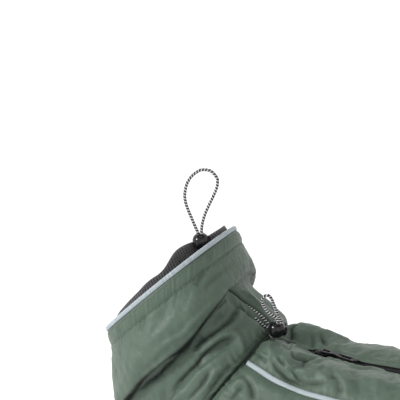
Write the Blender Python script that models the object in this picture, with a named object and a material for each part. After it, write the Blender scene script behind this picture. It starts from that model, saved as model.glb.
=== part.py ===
"""Dog winter coat with a high snood collar, in its worn, hollow form.

Every cloth piece is a wall of real thickness on one lofted surface. The surface is a row of
rings: each ring is a rounded oval from a point on the back to a point on the belly. A point on
it is (row, turn): row counts along the table of rings, and turn is the angle in degrees round
the ring, 0 on the back, positive to the dog's right (+Y) and negative to its left (-Y).

Sizes are in millimetres in the tables below, and become metres when a mesh is made. The dog
faces -X, the back is up (+Z), and the origin is inside the back, at the withers.
"""

import math
from collections import namedtuple

import bmesh
import bpy
import numpy as np
from mathutils import Matrix, Vector

MM = 0.001

# ---------------------------------------------------------------- driving dimensions

WALL = 2.0  # shell cloth with its padding
KNIT_WALL = 2.2  # inner collar
TAPE_WALL = 1.2  # zip tape
GAP = 0.3  # between two pieces that touch
EDGE_COLUMN = 2.5  # first column of a panel, which a sewn strip lies on

PIPING_HEIGHT = 2.0
RIM_PIPING_HEIGHT = 4.6
RIM_PIPING_WIDTH = 3.4

CORD_DIAMETER = 3.0
CORD_SPACING = 3.4  # between the two strands in a lock
CORD_POINT_STEP = 5.5  # between the points of a cord's line
LOCK_RADIUS = 7.8
LOCK_LENGTH = 15.0  # along the cord
LOCK_SLOT = (CORD_DIAMETER + CORD_SPACING + 1.4, CORD_DIAMETER + 1.4)
BUTTON_RADIUS = 4.3
BUTTON_TOP = 9.4  # from the lock's middle
BUTTON_FOOT = 5.3

ZIP_FRONT = -4.0
ZIP_REAR = 176.0
ZIP_TAPE_HALF = 13.0
ZIP_TAPE_END = 12.0  # from the zip's ends to the tape's ends, under the cloth
ZIP_TAPE_SLACK = 0.25  # more room between tape and cloth, where the panels curve
ZIP_CHAIN_HALF = 2.6
ZIP_CHAIN_HEIGHT = 1.6
# Half the width of cloth that is left open over the zip, as (x along the back, width).
ZIP_OPENING = ((-60, 0), (-12, 0), (-5, 4.7), (14, 4.7), (44, 3.6), (84, 5.4), (176, 5.4), (186, 0), (440, 0))
SLIDER_X = 3.0  # the pull's hinge, along the back
SLIDER_PLATE = (12.0, 8.4, 2.2)  # length, width, thickness
SLIDER_STEM_HALF = 2.2
ARCH_LENGTH = 7.6
ARCH_WIDTH = 2.4
ARCH_BAR = 1.5
ARCH_WINDOW = 2.4  # height under the arch
PULL_THICKNESS = 1.5
PULL_LENGTH = 35.0  # from the hinge to the tip

# The two rings that hold the collar: its rim and the seam that joins it to the body.
Ring = namedtuple("Ring", "nape_x nape_z throat_x throat_z half_width")
RIM = Ring(-102.0, 91.0, -207.0, -16.0, 76.0)
SEAM = Ring(-50.0, 9.5, -145.0, -155.0, 83.0)
SEAM_TUCK = 5.0  # how far the collar's lower edge turns in to the seam
RING_POWER = 2.15  # 2 is an ellipse, and more is squarer

# Collar rows from rim to seam: the share of the way along and how far out, where the big
# crease is at its deepest, and where the cloth is smooth.
CollarRow = namedtuple("CollarRow", "name along out along_smooth out_smooth")
COLLAR_ROWS = (
    CollarRow("rim", 0.00, 0.0, 0.00, 0.0),
    CollarRow("band", 0.15, 1.0, 0.14, 1.0),
    CollarRow("puff_top", 0.28, 4.0, 0.27, 3.5),
    CollarRow("puff", 0.41, 6.0, 0.40, 5.0),
    CollarRow("overhang", 0.515, 3.5, 0.50, 5.5),
    CollarRow("crease", 0.49, -7.0, 0.57, 5.0),
    CollarRow("under_crease", 0.60, -6.5, 0.65, 4.5),
    CollarRow("lower_puff", 0.76, -0.5, 0.77, 4.0),
    CollarRow("roll", 0.92, 3.0, 0.91, 3.5),
    CollarRow("tuck", 1.00, 0.5, 1.00, 0.5),
    CollarRow("seam", 1.00, -SEAM_TUCK, 1.00, -SEAM_TUCK),
)

# Round the collar: how deep the big crease is, how far it moves along towards the seam, and
# how far the middle of the collar swells out.
CreaseTurn = namedtuple("CreaseTurn", "turn depth shift swell")
CREASE_TURNS = (
    CreaseTurn(-180, 0.0, 0.00, 8.0),
    CreaseTurn(-145, 0.3, -0.05, 15.0),
    CreaseTurn(-115, 0.75, -0.06, 6.0),
    CreaseTurn(-90, 1.0, -0.06, 2.0),
    CreaseTurn(-60, 1.0, 0.00, 0.0),
    CreaseTurn(-40, 1.0, -0.03, -1.0),
    CreaseTurn(-15, 0.9, -0.09, -5.0),
    CreaseTurn(15, 0.8, -0.13, -8.0),
    CreaseTurn(50, 0.8, -0.08, -7.0),
    CreaseTurn(90, 1.0, 0.00, -1.0),
    CreaseTurn(135, 0.4, -0.04, 4.0),
    CreaseTurn(180, 0.0, 0.00, 8.0),
)

# Folds: soft troughs (depth below 0) and ridges between two places on the surface.
Fold = namedtuple("Fold", "row_a turn_a row_b turn_b depth width")
COLLAR_FOLDS = (
    Fold(6.0, -58, 6.9, -29, 3.2, 8.0),
    Fold(6.8, -30, 8.8, -26, 1.8, 8.0),
    Fold(7.4, -27, 6.8, -60, -3.6, 7.0),
    Fold(6.9, -54, 6.7, -96, -3.0, 8.0),
    Fold(6.9, -70, 7.8, -124, 2.6, 10.0),
    Fold(5.3, -13, 9.3, 3, -5.0, 6.0),
    Fold(1.6, -62, 3.6, -104, 2.0, 15.0),
    Fold(1.6, -112, 3.4, -150, -2.4, 15.0),
    Fold(2.0, 60, 3.6, 104, -2.2, 18.0),
    Fold(1.8, 120, 3.8, 158, 2.4, 16.0),
    Fold(6.0, 20, 8.9, 36, -7.0, 17.0),
    Fold(6.4, 50, 8.2, 74, 3.0, 12.0),
    Fold(6.6, 70, 6.9, 116, -2.6, 10.0),
    Fold(7.2, 130, 8.0, 170, -2.4, 12.0),
)

# Body rings from the collar seam to the hem. Power is how square the back is, and puff how
# far the back panels puff up between the zip and the piping. Turns give the panels' edges: the
# piping between back and side, the lower edge of the side panel, and the edge of the chest
# panel. Lift moves the chest panel out where its flap laps over the side panels.
Section = namedtuple(
    "Section",
    "name top_x top_z low_x low_z half_width power puff"
    " piping_turn side_turn chest_turn chest_lift",
)


def tucked(ring, tuck):
    """Top and low points and half width of a ring made smaller all round."""
    top = np.array([ring.nape_x, ring.nape_z])
    low = np.array([ring.throat_x, ring.throat_z])
    inward = (low - top) / np.linalg.norm(low - top)
    return (*(top + inward * tuck), *(low - inward * tuck), ring.half_width - tuck)


SECTIONS = (
    Section("seam", *tucked(SEAM, SEAM_TUCK), 2.15, 0.0, 28.0, 139.0, 139.0, 0.0),
    Section("neck_root", -43.0, 5.5, -150.0, -168.0, 86.0, 2.3, 5.0, 29.0, 138.5, 138.5, 0.0),
    Section("shoulder", -30.0, 6.5, -146.0, -190.0, 92.0, 2.4, 9.0, 30.2, 126.0, 148.0, 0.0),
    Section("withers", -12.0, 3.0, -122.0, -214.0, 97.0, 2.4, 10.0, 30.2, 117.0, 157.0, 0.0),
    Section("foreleg", 14.0, 1.2, -84.0, -233.0, 100.0, 2.4, 8.0, 30.6, 116.0, 158.0, 2.0),
    Section("elbow", 44.0, 2.2, -36.0, -244.0, 102.0, 2.4, 7.5, 30.7, 124.0, 146.0, 4.2),
    Section("girth", 86.0, 4.2, 24.0, -248.0, 103.0, 2.4, 6.5, 31.0, 130.0, 118.0, 4.2),
    Section("belly", 150.0, 3.0, 122.0, -238.0, 102.0, 2.4, 5.5, 31.5, 127.0, 114.0, 4.2),
    Section("loin", 240.0, -4.0, 232.0, -216.0, 99.0, 2.3, 4.0, 32.5, 116.0, 114.0, 4.2),
    Section("rump", 340.0, -6.5, 345.0, -190.0, 96.0, 2.2, 2.0, 34.0, 106.0, 114.0, 4.2),
    Section("hem", 432.0, -11.0, 432.0, -172.0, 92.0, 2.15, 0.0, 38.0, 84.0, 114.0, 4.2),
)
CHEST_LAST_ROW = 7.15  # the belly flap ends just past the ring called belly
PUFF_SHIFT = 1.3  # above 1, the puff is highest nearer the piping

BODY_FOLDS = (
    Fold(0.8, 14, 3.0, 24, 2.5, 14.0),
    Fold(0.8, -10, 2.4, -26, 3.5, 11.0),
    Fold(1.7, -3, 2.7, -14, -3.0, 8.0),
    Fold(2.6, -10, 3.3, -24, 3.0, 8.0),
    Fold(3.2, -27, 4.0, -10, -3.0, 8.0),
    Fold(3.8, 8, 4.6, 30, -3.0, 12.0),
    Fold(4.0, -8, 5.4, -26, 2.4, 12.0),
    Fold(2.2, -46, 3.2, -74, 3.0, 14.0),
    Fold(2.0, 48, 3.4, 80, 3.0, 15.0),
    Fold(4.4, -46, 5.6, -84, -3.0, 18.0),
    Fold(4.6, 46, 5.8, 90, -3.0, 18.0),
    Fold(7.0, -44, 8.2, -86, 3.0, 26.0),
    Fold(7.4, 44, 8.6, 92, 3.0, 26.0),
    Fold(8.8, -46, 9.6, -74, -3.0, 26.0),
    Fold(8.6, 48, 9.5, 80, -3.0, 26.0),
)

# Top edge of the inner collar round the neck: how far it stands above the rim, and how far it
# lies inside the collar's rings.
LiningTurn = namedtuple("LiningTurn", "turn stand inside")
LINING_TURNS = (
    LiningTurn(-180, 3.0, 12.0),
    LiningTurn(-130, 5.0, 14.0),
    LiningTurn(-85, 8.0, 17.0),
    LiningTurn(-60, 13.0, 19.5),
    LiningTurn(-40, 18.0, 20.5),
    LiningTurn(-20, 15.5, 20.5),
    LiningTurn(0, 11.0, 17.0),
    LiningTurn(20, 9.5, 9.5),
    LiningTurn(50, 10.0, 7.0),
    LiningTurn(80, 9.0, 9.0),
    LiningTurn(130, 6.0, 12.0),
    LiningTurn(180, 3.0, 12.0),
)
# Inner collar rows: share of the way along, how far inside the collar's rings, and how much
# of that follows the top edge.
LiningRow = namedtuple("LiningRow", "along inside follow")
LINING_ROWS = (
    LiningRow(0.00, 20.0, 1.0),
    LiningRow(0.25, 19.0, 0.45),
    LiningRow(0.50, 17.5, 0.0),
    LiningRow(0.75, 15.5, 0.0),
    LiningRow(0.90, 13.5, 0.0),
    LiningRow(0.985, SEAM_TUCK + GAP + 0.7, 0.0),
)

# Columns round the collar, as (to this turn, this many), from the throat; closer where the
# folds are small.
COLLAR_COLUMNS = ((-104, 9), (-64, 7), (-20, 9), (6, 11), (60, 8), (180, 15))
COLLAR_STEPS = (2, 2, 2, 2, 2, 2, 2, 2, 2, 1)
LINING_COLUMNS = 40
BODY_STEPS = (2, 3, 3, 3, 3, 3, 4, 4, 4, 4)
BACK_COLUMNS = 5
SIDE_COLUMNS = 9
CHEST_COLUMNS = 12

# ---------------------------------------------------------------- materials

Finish = namedtuple("Finish", "colour roughness metallic")
SHELL_FINISH = Finish((0.125, 0.175, 0.125), 0.55, 0.0)
KNIT_FINISH = Finish((0.045, 0.043, 0.043), 0.95, 0.0)
REFLECTIVE_FINISH = Finish((0.55, 0.60, 0.64), 0.35, 0.0)
TAPE_FINISH = Finish((0.040, 0.042, 0.043), 0.85, 0.0)
PLASTIC_FINISH = Finish((0.012, 0.012, 0.013), 0.25, 0.0)
METAL_FINISH = Finish((0.03, 0.03, 0.032), 0.35, 0.6)
CORD_FINISH = Finish((0.10, 0.10, 0.10), 0.8, 0.0)


def material(name, finish):
    made = bpy.data.materials.new(name)
    made.use_nodes = True
    shader = made.node_tree.nodes["Principled BSDF"]
    shader.inputs["Base Color"].default_value = (*finish.colour, 1.0)
    shader.inputs["Roughness"].default_value = finish.roughness
    shader.inputs["Metallic"].default_value = finish.metallic
    return made


# ---------------------------------------------------------------- the lofted surface


def smooth_table(values, at):
    """Read a table's numeric rows (n, k) at real-valued positions, on a Catmull-Rom curve."""
    values = np.asarray(values, float)
    last = len(values) - 1
    at = np.clip(np.asarray(at, float), 0.0, last)
    start = np.minimum(at.astype(int), last - 1)
    step = (at - start)[..., None]
    before = values[np.maximum(start - 1, 0)]
    here, after = values[start], values[start + 1]
    beyond = values[np.minimum(start + 2, last)]
    slope_a = (after - before) / 2
    slope_b = (beyond - here) / 2
    return (
        here * (2 * step**3 - 3 * step**2 + 1)
        + slope_a * (step**3 - 2 * step**2 + step)
        + after * (3 * step**2 - 2 * step**3)
        + slope_b * (step**3 - step**2)
    )


def by_turn(table, column, turn):
    """A column of a table that is keyed by turn, joined smoothly."""
    turns = np.array([row.turn for row in table], float)
    values = np.array([[getattr(row, column)] for row in table], float)
    position = np.interp(wrapped(turn), turns, np.arange(len(turns)))
    return smooth_table(values, position)[..., 0]


def wrapped(turn):
    return (np.asarray(turn, float) + 180.0) % 360.0 - 180.0


def oval(top, low, half_width, power, turn):
    """Points of a ring from its top and low points (x, z), with turn in degrees."""
    angle = np.radians(turn)
    up, side = np.cos(angle), np.sin(angle)
    reach = (np.abs(up) ** power + np.abs(side) ** power) ** (-1.0 / power)
    middle, axis = (top + low) / 2, (top - low) / 2
    point = middle + axis * (up * reach)[..., None]
    return np.stack([point[..., 0], half_width * side * reach, point[..., 1]], -1)


def collar_ring(along, out, turn):
    """The collar's base surface: share along from rim to seam, and distance out from it."""
    along = np.asarray(along, float)[..., None]
    nape = (1 - along) * [RIM.nape_x, RIM.nape_z] + along * [SEAM.nape_x, SEAM.nape_z]
    throat = (1 - along) * [RIM.throat_x, RIM.throat_z] + along * [SEAM.throat_x, SEAM.throat_z]
    outward = (nape - throat) / np.linalg.norm(nape - throat, axis=-1, keepdims=True)
    out = np.asarray(out, float)
    nape = nape + outward * out[..., None]
    throat = throat - outward * out[..., None]
    width = (1 - along[..., 0]) * RIM.half_width + along[..., 0] * SEAM.half_width + out
    return oval(nape, throat, width, RING_POWER, turn)


def collar_base(row, turn):
    """The collar's surface with its big crease."""
    values = smooth_table([item[1:] for item in COLLAR_ROWS], row)
    depth = by_turn(CREASE_TURNS, "depth", turn)
    shift = by_turn(CREASE_TURNS, "shift", turn)
    along = depth * values[..., 0] + (1 - depth) * values[..., 2]
    out = depth * values[..., 1] + (1 - depth) * values[..., 3]
    middle = np.sin(np.pi * np.clip(along, 0, 1)) ** 2
    swell = by_turn(CREASE_TURNS, "swell", turn)
    return collar_ring(along + shift * middle, out + swell * middle, turn)


def body_base(row, turn):
    values = smooth_table([item[1:7] for item in SECTIONS], row)
    return oval(
        values[..., 0:2], values[..., 2:4], values[..., 4], values[..., 5], turn
    )


def body_column(name, row):
    index = Section._fields.index(name)
    return smooth_table([[item[index]] for item in SECTIONS], row)[..., 0]


def edge_turn(name, row):
    """Turn of a panel's edge; straight over the first span, where the leg hole hasn't begun."""
    index = Section._fields.index(name)
    straight = SECTIONS[0][index] * (1 - row) + SECTIONS[1][index] * row
    return np.where(np.asarray(row) < 1, straight, body_column(name, row))


def outward_normal(surface, row, turn):
    """Unit normal of a surface function, from small steps along it."""
    small_row, small_turn = 0.02, 0.3
    along = surface(row + small_row, turn) - surface(row - small_row, turn)
    around = surface(row, turn + small_turn) - surface(row, turn - small_turn)
    normal = np.cross(along, around)
    return normal / np.maximum(np.linalg.norm(normal, axis=-1, keepdims=True), 1e-9)


def fold_height(folds, surface, row, turn):
    """Sum of the folds at each point, each a soft bump round the line between its two ends."""
    points = surface(row, turn)
    height = np.zeros(points.shape[:-1])
    for fold in folds:
        line = surface(
            np.linspace(fold.row_a, fold.row_b, 9), np.linspace(fold.turn_a, fold.turn_b, 9)
        )
        share, distance = nearest_on_line(points, line)
        taper = np.sin(np.pi * np.clip(share, 0.02, 0.98)) ** 0.7
        height += fold.depth * taper * np.exp(-((distance / fold.width) ** 2) * 2)
    return height


def nearest_on_line(points, line):
    """How far along a line of points each point lies (0 to 1), and its distance from it."""
    best = np.full(points.shape[:-1], np.inf)
    share = np.zeros(points.shape[:-1])
    for index, (a, b) in enumerate(zip(line[:-1], line[1:])):
        step = b - a
        along = np.clip(((points - a) @ step) / (step @ step), 0, 1)
        distance = np.linalg.norm(points - a - along[..., None] * step, axis=-1)
        closer = distance < best
        best = np.where(closer, distance, best)
        share = np.where(closer, (index + along) / (len(line) - 1), share)
    return share, best


def collar_surface(row, turn, lift=0.0):
    """Outer face of the collar shell; lift moves it out along its normal."""
    normal = outward_normal(collar_base, row, turn)
    fade = np.clip((len(COLLAR_ROWS) - 2 - row) / 0.8, 0, 1) * np.clip(row / 1.2, 0, 1)
    height = fold_height(COLLAR_FOLDS, collar_base, row, turn) * fade
    return collar_base(row, turn) + normal * (height + lift)[..., None]


def puff_height(row, turn):
    share = np.clip(np.abs(wrapped(turn)) / body_column("piping_turn", row), 0, 1)
    return body_column("puff", row) * np.sin(np.pi * share**PUFF_SHIFT)


def body_surface(row, turn, lift=0.0):
    """Outer face of the body panels; lift moves it out along its normal."""
    normal = outward_normal(body_base, row, turn)
    fade = np.clip(row / 0.8, 0, 1)
    height = fold_height(BODY_FOLDS, body_base, row, turn) * fade
    height = height + puff_height(row, turn)
    return body_base(row, turn) + normal * (height + lift)[..., None]


def seam_direction():
    """Unit vector across the collar seam, from the collar to the body."""
    fall = np.array([SEAM.nape_x - SEAM.throat_x, SEAM.nape_z - SEAM.throat_z])
    fall /= np.linalg.norm(fall)
    return np.array([fall[1], 0.0, -fall[0]])


# ---------------------------------------------------------------- mesh making


def put_in_scene(name, mesh, finish_name):
    placed = bpy.data.objects.new(name, mesh)
    bpy.context.scene.collection.objects.link(placed)
    mesh.materials.append(MATERIALS[finish_name])
    return placed


def mesh_object(name, points, faces, finish_name):
    """A closed mesh with its faces turned out and smooth where it is round."""
    mesh = bpy.data.meshes.new(name)
    mesh.from_pydata([Vector(p) * MM for p in points], [], faces)
    work = bmesh.new()
    work.from_mesh(mesh)
    bmesh.ops.recalc_face_normals(work, faces=work.faces)
    work.to_mesh(mesh)
    work.free()
    mesh.shade_smooth()
    mesh.set_sharp_from_angle(angle=math.radians(50))
    return put_in_scene(name, mesh, finish_name)


def wall(name, outer, inner, finish_name, closed=False):
    """A cloth wall between two grids of points (rows, columns, 3)."""
    rows, columns = outer.shape[:2]
    points = [*outer.reshape(-1, 3), *inner.reshape(-1, 3)]
    inside = rows * columns

    def index(row, column):
        return row * columns + column % columns

    faces = []
    spans = columns if closed else columns - 1
    for row in range(rows - 1):
        for column in range(spans):
            quad = [
                index(row, column),
                index(row, column + 1),
                index(row + 1, column + 1),
                index(row + 1, column),
            ]
            faces += [quad, [inside + i for i in reversed(quad)]]
    for row in (0, rows - 1):
        for column in range(spans):
            a, b = index(row, column), index(row, column + 1)
            faces.append([a, b, inside + b, inside + a])
    if not closed:
        for row in range(rows - 1):
            for column in (0, columns - 1):
                a, b = index(row, column), index(row + 1, column)
                faces.append([a, b, inside + b, inside + a])
    return mesh_object(name, points, faces, finish_name)


def tube(name, rings, finish_name, closed=False):
    """A solid through rings of points (rings, points, 3), capped unless it is closed."""
    count, sides = rings.shape[:2]
    points = rings.reshape(-1, 3)
    faces = []
    for ring in range(count if closed else count - 1):
        after = (ring + 1) % count
        for side in range(sides):
            beyond = (side + 1) % sides
            faces.append(
                [
                    ring * sides + side,
                    ring * sides + beyond,
                    after * sides + beyond,
                    after * sides + side,
                ]
            )
    if not closed:
        faces += [list(range(sides)), [(count - 1) * sides + side for side in range(sides)]]
    return mesh_object(name, points, faces, finish_name)


def stepped(steps, last=None):
    """Rows at even parts of each span of a table, up to the row called last."""
    rows = [index + part / count for index, count in enumerate(steps) for part in range(count)]
    rows.append(float(len(steps)))
    if last is None:
        return np.array(rows)
    return np.array([row for row in rows if row < last - 0.05] + [last])


# ---------------------------------------------------------------- collar


def collar_turns():
    turns = []
    start = -180
    for end, count in COLLAR_COLUMNS:
        turns += list(np.linspace(start, end, count, endpoint=False))
        start = end
    return np.array(turns)


def collar_grid(lift):
    rows = stepped(COLLAR_STEPS)
    grid_row, grid_turn = np.meshgrid(rows, collar_turns(), indexing="ij")
    return collar_surface(grid_row, grid_turn, lift) - seam_direction() * GAP / 2


def make_collar_shell():
    wall("collar_shell", collar_grid(0.0), collar_grid(-WALL), "shell", closed=True)


def make_collar_piping():
    """Round strip along the rim: an oval section on the middle of the wall's edge."""
    outer, inner = collar_grid(0.0)[0], collar_grid(-WALL)[0]
    second = collar_grid(0.0)[1]
    up = outer - second
    up /= np.linalg.norm(up, axis=-1, keepdims=True)
    across = outer - inner
    across -= up * (across * up).sum(-1, keepdims=True)
    across /= np.linalg.norm(across, axis=-1, keepdims=True)
    middle = (outer + inner) / 2 + up * (GAP + 0.15 + RIM_PIPING_HEIGHT / 2)
    sides = 8
    angle = (np.arange(sides) + 0.5) * 2 * math.pi / sides
    rings = (
        middle[:, None]
        + across[:, None] * (np.cos(angle) * RIM_PIPING_WIDTH / 2)[None, :, None]
        + up[:, None] * (np.sin(angle) * RIM_PIPING_HEIGHT / 2)[None, :, None]
    )
    tube("collar_piping", rings, "reflective", closed=True)


def lining_grid(depth):
    turns = np.arange(LINING_COLUMNS) * 360.0 / LINING_COLUMNS
    length = math.hypot(RIM.nape_x - SEAM.nape_x, RIM.nape_z - SEAM.nape_z)
    top = by_turn(LINING_TURNS, "inside", turns)
    rows = [collar_ring(-by_turn(LINING_TURNS, "stand", turns) / length, -top - depth, turns)]
    for row in LINING_ROWS:
        inside = row.inside + (top - LINING_ROWS[0].inside) * row.follow
        rows.append(collar_ring(np.full(len(turns), row.along), -inside - depth, turns))
    return np.array(rows) - seam_direction() * GAP / 2


def make_collar_lining():
    wall("collar_lining", lining_grid(0.0), lining_grid(KNIT_WALL), "knit", closed=True)


# ---------------------------------------------------------------- body panels


def degrees_of(length, row, turn):
    """Turn that a length along the ring takes up at a place on the body."""
    around = body_base(row, turn + 0.5) - body_base(row, turn - 0.5)
    return length / np.linalg.norm(around, axis=-1)


def panel_turns(rows, start, end, columns):
    """Turns of a panel's columns, from its start edge to its end edge, both turns by row.

    The first and last columns lie EDGE_COLUMN from the edges, and the rest are even.
    """
    first = start + degrees_of(EDGE_COLUMN, rows, start) * np.sign(end - start)
    last = end - degrees_of(EDGE_COLUMN, rows, end) * np.sign(end - start)
    share = np.linspace(0, 1, columns)[None, :]
    inner = first[:, None] * (1 - share) + last[:, None] * share
    return np.column_stack([start, inner, end])


def zip_half_opening(x):
    """Half the width of cloth that is left open over the zip, at a place along the back."""
    opening = np.array(ZIP_OPENING)
    return np.interp(x, opening[:, 0], opening[:, 1])


def back_rows():
    return stepped(BODY_STEPS)


def back_turns(side):
    rows = back_rows()
    spine = body_base(rows, np.zeros(len(rows)))[:, 0]
    clear = zip_half_opening(spine) + GAP / 2
    start = degrees_of(clear, rows, 0 * rows)
    edge = body_column("piping_turn", rows)
    end = edge - degrees_of(GAP / 2, rows, edge)
    return rows, side * panel_turns(rows, start, end, BACK_COLUMNS)


def side_turns(side):
    rows = back_rows()
    edge = body_column("piping_turn", rows)
    start = edge + degrees_of(GAP / 2, rows, edge)
    low = edge_turn("side_turn", rows)
    end = low - degrees_of(GAP / 2, rows, low)
    return rows, side * panel_turns(rows, start, end, SIDE_COLUMNS)


def panel_grid(rows, turns, lift):
    """A grid on the body; lift may be a number or one value for each row."""
    grid_row = np.repeat(rows[:, None], turns.shape[1], 1)
    lift = np.broadcast_to(np.asarray(lift, float).reshape(-1, 1), grid_row.shape)
    return body_surface(grid_row, turns, lift) + seam_direction() * GAP / 2


def make_back_panel(name, side):
    rows, turns = back_turns(side)
    wall(name, panel_grid(rows, turns, 0.0), panel_grid(rows, turns, -WALL), "shell")


def make_side_panel(name, side):
    rows, turns = side_turns(side)
    wall(name, panel_grid(rows, turns, 0.0), panel_grid(rows, turns, -WALL), "shell")


def make_chest_panel():
    rows = stepped(BODY_STEPS, CHEST_LAST_ROW)
    edge = edge_turn("chest_turn", rows)
    start = edge + degrees_of(GAP / 2, rows, edge)
    turns = panel_turns(rows, start, 360.0 - start, CHEST_COLUMNS)
    lift = body_column("chest_lift", rows)
    wall("chest_panel", panel_grid(rows, turns, lift), panel_grid(rows, turns, lift - WALL), "shell")


def make_side_piping(name, side):
    """Half-round strip on the seam, from the edge columns of the two panels, moved out."""
    rows, back = back_turns(side)
    side_edge = side_turns(side)[1]
    turns = np.column_stack([back[:, -2], back[:, -1], side_edge[:, 0], side_edge[:, 1]])
    rows, turns = rows[1:], turns[1:]  # clear of the collar's roll
    bottom = panel_grid(rows, turns, GAP)
    shoulder = panel_grid(rows, turns[:, [0, 3]], GAP + PIPING_HEIGHT * 0.6)
    shoulder = shoulder * 0.85 + bottom[:, [1, 2]] * 0.15
    crown = panel_grid(rows, turns[:, [1, 2]], GAP + PIPING_HEIGHT)
    rings = np.concatenate([bottom, shoulder[:, 1:], crown[:, ::-1], shoulder[:, :1]], axis=1)
    tube(name, rings, "reflective")


# ---------------------------------------------------------------- zip


def spine_row(x):
    """Row of the body where the spine line has a given x."""
    rows = np.linspace(0, len(SECTIONS) - 1, 2001)
    spine = body_base(rows, np.zeros(len(rows)))[:, 0]
    return np.interp(x, spine, rows)


def zip_section():
    """Outline of the tape with its chain, as (across, height over the tape's under face)."""
    chain = TAPE_WALL + ZIP_CHAIN_HEIGHT
    half = [(ZIP_TAPE_HALF, 0.0), (ZIP_TAPE_HALF, TAPE_WALL), (ZIP_CHAIN_HALF, TAPE_WALL)]
    half += [(ZIP_CHAIN_HALF * 0.9, chain * 0.85), (ZIP_CHAIN_HALF * 0.4, chain)]
    left = [(-across, height) for across, height in reversed(half)]
    return np.array(half + left)


def make_zip_tape():
    """Tape under the back panels' edges, with the closed chain raised in their gap."""
    chain_start, chain_end = spine_row(ZIP_FRONT - 2.0), spine_row(ZIP_REAR + 4.0)
    rows = [r for r in back_rows() if chain_start < r < chain_end]
    rows = [chain_start, *rows, chain_end]
    flat_before = [spine_row(ZIP_FRONT - ZIP_TAPE_END), chain_start - 0.02]
    flat_after = [chain_end + 0.01, spine_row(ZIP_REAR + ZIP_TAPE_END)]
    section = zip_section()
    flat_section = np.minimum(section, [np.inf, TAPE_WALL])
    base = -WALL - GAP - ZIP_TAPE_SLACK - TAPE_WALL
    rings = []
    for row in [*flat_before, *rows, *flat_after]:
        ring = section if row in rows else flat_section
        at = np.full(len(ring), row)
        turns = degrees_of(1.0, at, 0 * at) * ring[:, 0]
        rings.append(body_base(at, turns) + spine_normal(row) * (base + ring[:, 1])[:, None])
    tube("zip_tape", np.array(rings) + seam_direction() * GAP / 2, "tape")


def spine_normal(row):
    return outward_normal(body_base, np.array([row]), np.array([0.0]))[0]


class Frame:
    """A place with three axes: side (the button or the width), up (the cord), and across."""

    def __init__(self, place, up, side):
        self.place = np.array(place, float)
        self.up = np.array(up, float) / np.linalg.norm(up)
        side = np.array(side, float)
        side = side - self.up * (side @ self.up)
        self.side = side / np.linalg.norm(side)
        self.across = np.cross(self.up, self.side)

    def point(self, side, across, up):
        return self.place + self.side * side + self.across * across + self.up * up

    def matrix(self):
        axes = Matrix([self.side, self.across, self.up]).transposed().to_4x4()
        return Matrix.Translation(Vector(self.place) * MM) @ axes


def prism(name, outline, low, high, finish_name=None):
    """An outline (x, y) made solid from low to high in z, in the object's own frame."""
    count = len(outline)
    points = [(x, y, z) for z in (low, high) for x, y in outline]
    faces = [list(range(count)), list(range(count, 2 * count))]
    faces += [[i, (i + 1) % count, count + (i + 1) % count, count + i] for i in range(count)]
    return mesh_object(name, points, faces, finish_name or "plastic")


def rounded_box(half_x, half_y, radius, steps=3):
    """Outline of a rectangle with round corners."""
    outline = []
    for corner, (sign_x, sign_y) in enumerate(((1, 1), (-1, 1), (-1, -1), (1, -1))):
        for step in range(steps + 1):
            angle = math.radians(90 * (corner + step / steps))
            outline.append(
                (
                    sign_x * (half_x - radius) + radius * math.cos(angle),
                    sign_y * (half_y - radius) + radius * math.sin(angle),
                )
            )
    return outline


def circle(radius, sides, x=0.0, y=0.0):
    turns = [2 * math.pi * (i + 0.5) / sides for i in range(sides)]
    return [(x + radius * math.cos(turn), y + radius * math.sin(turn)) for turn in turns]


def cut(target, cutter):
    cutter.hide_render = True
    cutter.display_type = "WIRE"
    change = target.modifiers.new("cut", "BOOLEAN")
    change.object = cutter
    change.operation = "DIFFERENCE"


def turned(name, profile, sides, finish_name):
    """A solid turned round z from a profile (radius, z), with its ends on the axis."""
    angles = turn_angles(sides)
    rings = [[(r * math.cos(a), r * math.sin(a), z) for a in angles] for r, z in profile[1:-1]]
    points = [(0, 0, profile[0][1]), *(p for ring in rings for p in ring), (0, 0, profile[-1][1])]
    faces = []
    for side in range(sides):
        beyond = (side + 1) % sides
        faces.append([0, 1 + side, 1 + beyond])
        for ring in range(len(rings) - 1):
            low, high = 1 + ring * sides, 1 + (ring + 1) * sides
            faces.append([low + side, low + beyond, high + beyond, high + side])
        top = 1 + (len(rings) - 1) * sides
        faces.append([top + side, top + beyond, len(points) - 1])
    return mesh_object(name, points, faces, finish_name)


def turn_angles(sides):
    return [2 * math.pi * (i + 0.5) / sides for i in range(sides)]


# ---------------------------------------------------------------- zip slider and pull


def slider_frame():
    row = spine_row(SLIDER_X)
    place = body_base(np.array([row]), np.array([0.0]))[0]
    return Frame(place, spine_normal(row), (1.0, 0.0, 0.0))


def hinge_height():
    return GAP + SLIDER_PLATE[2] + ARCH_WINDOW / 2


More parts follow.
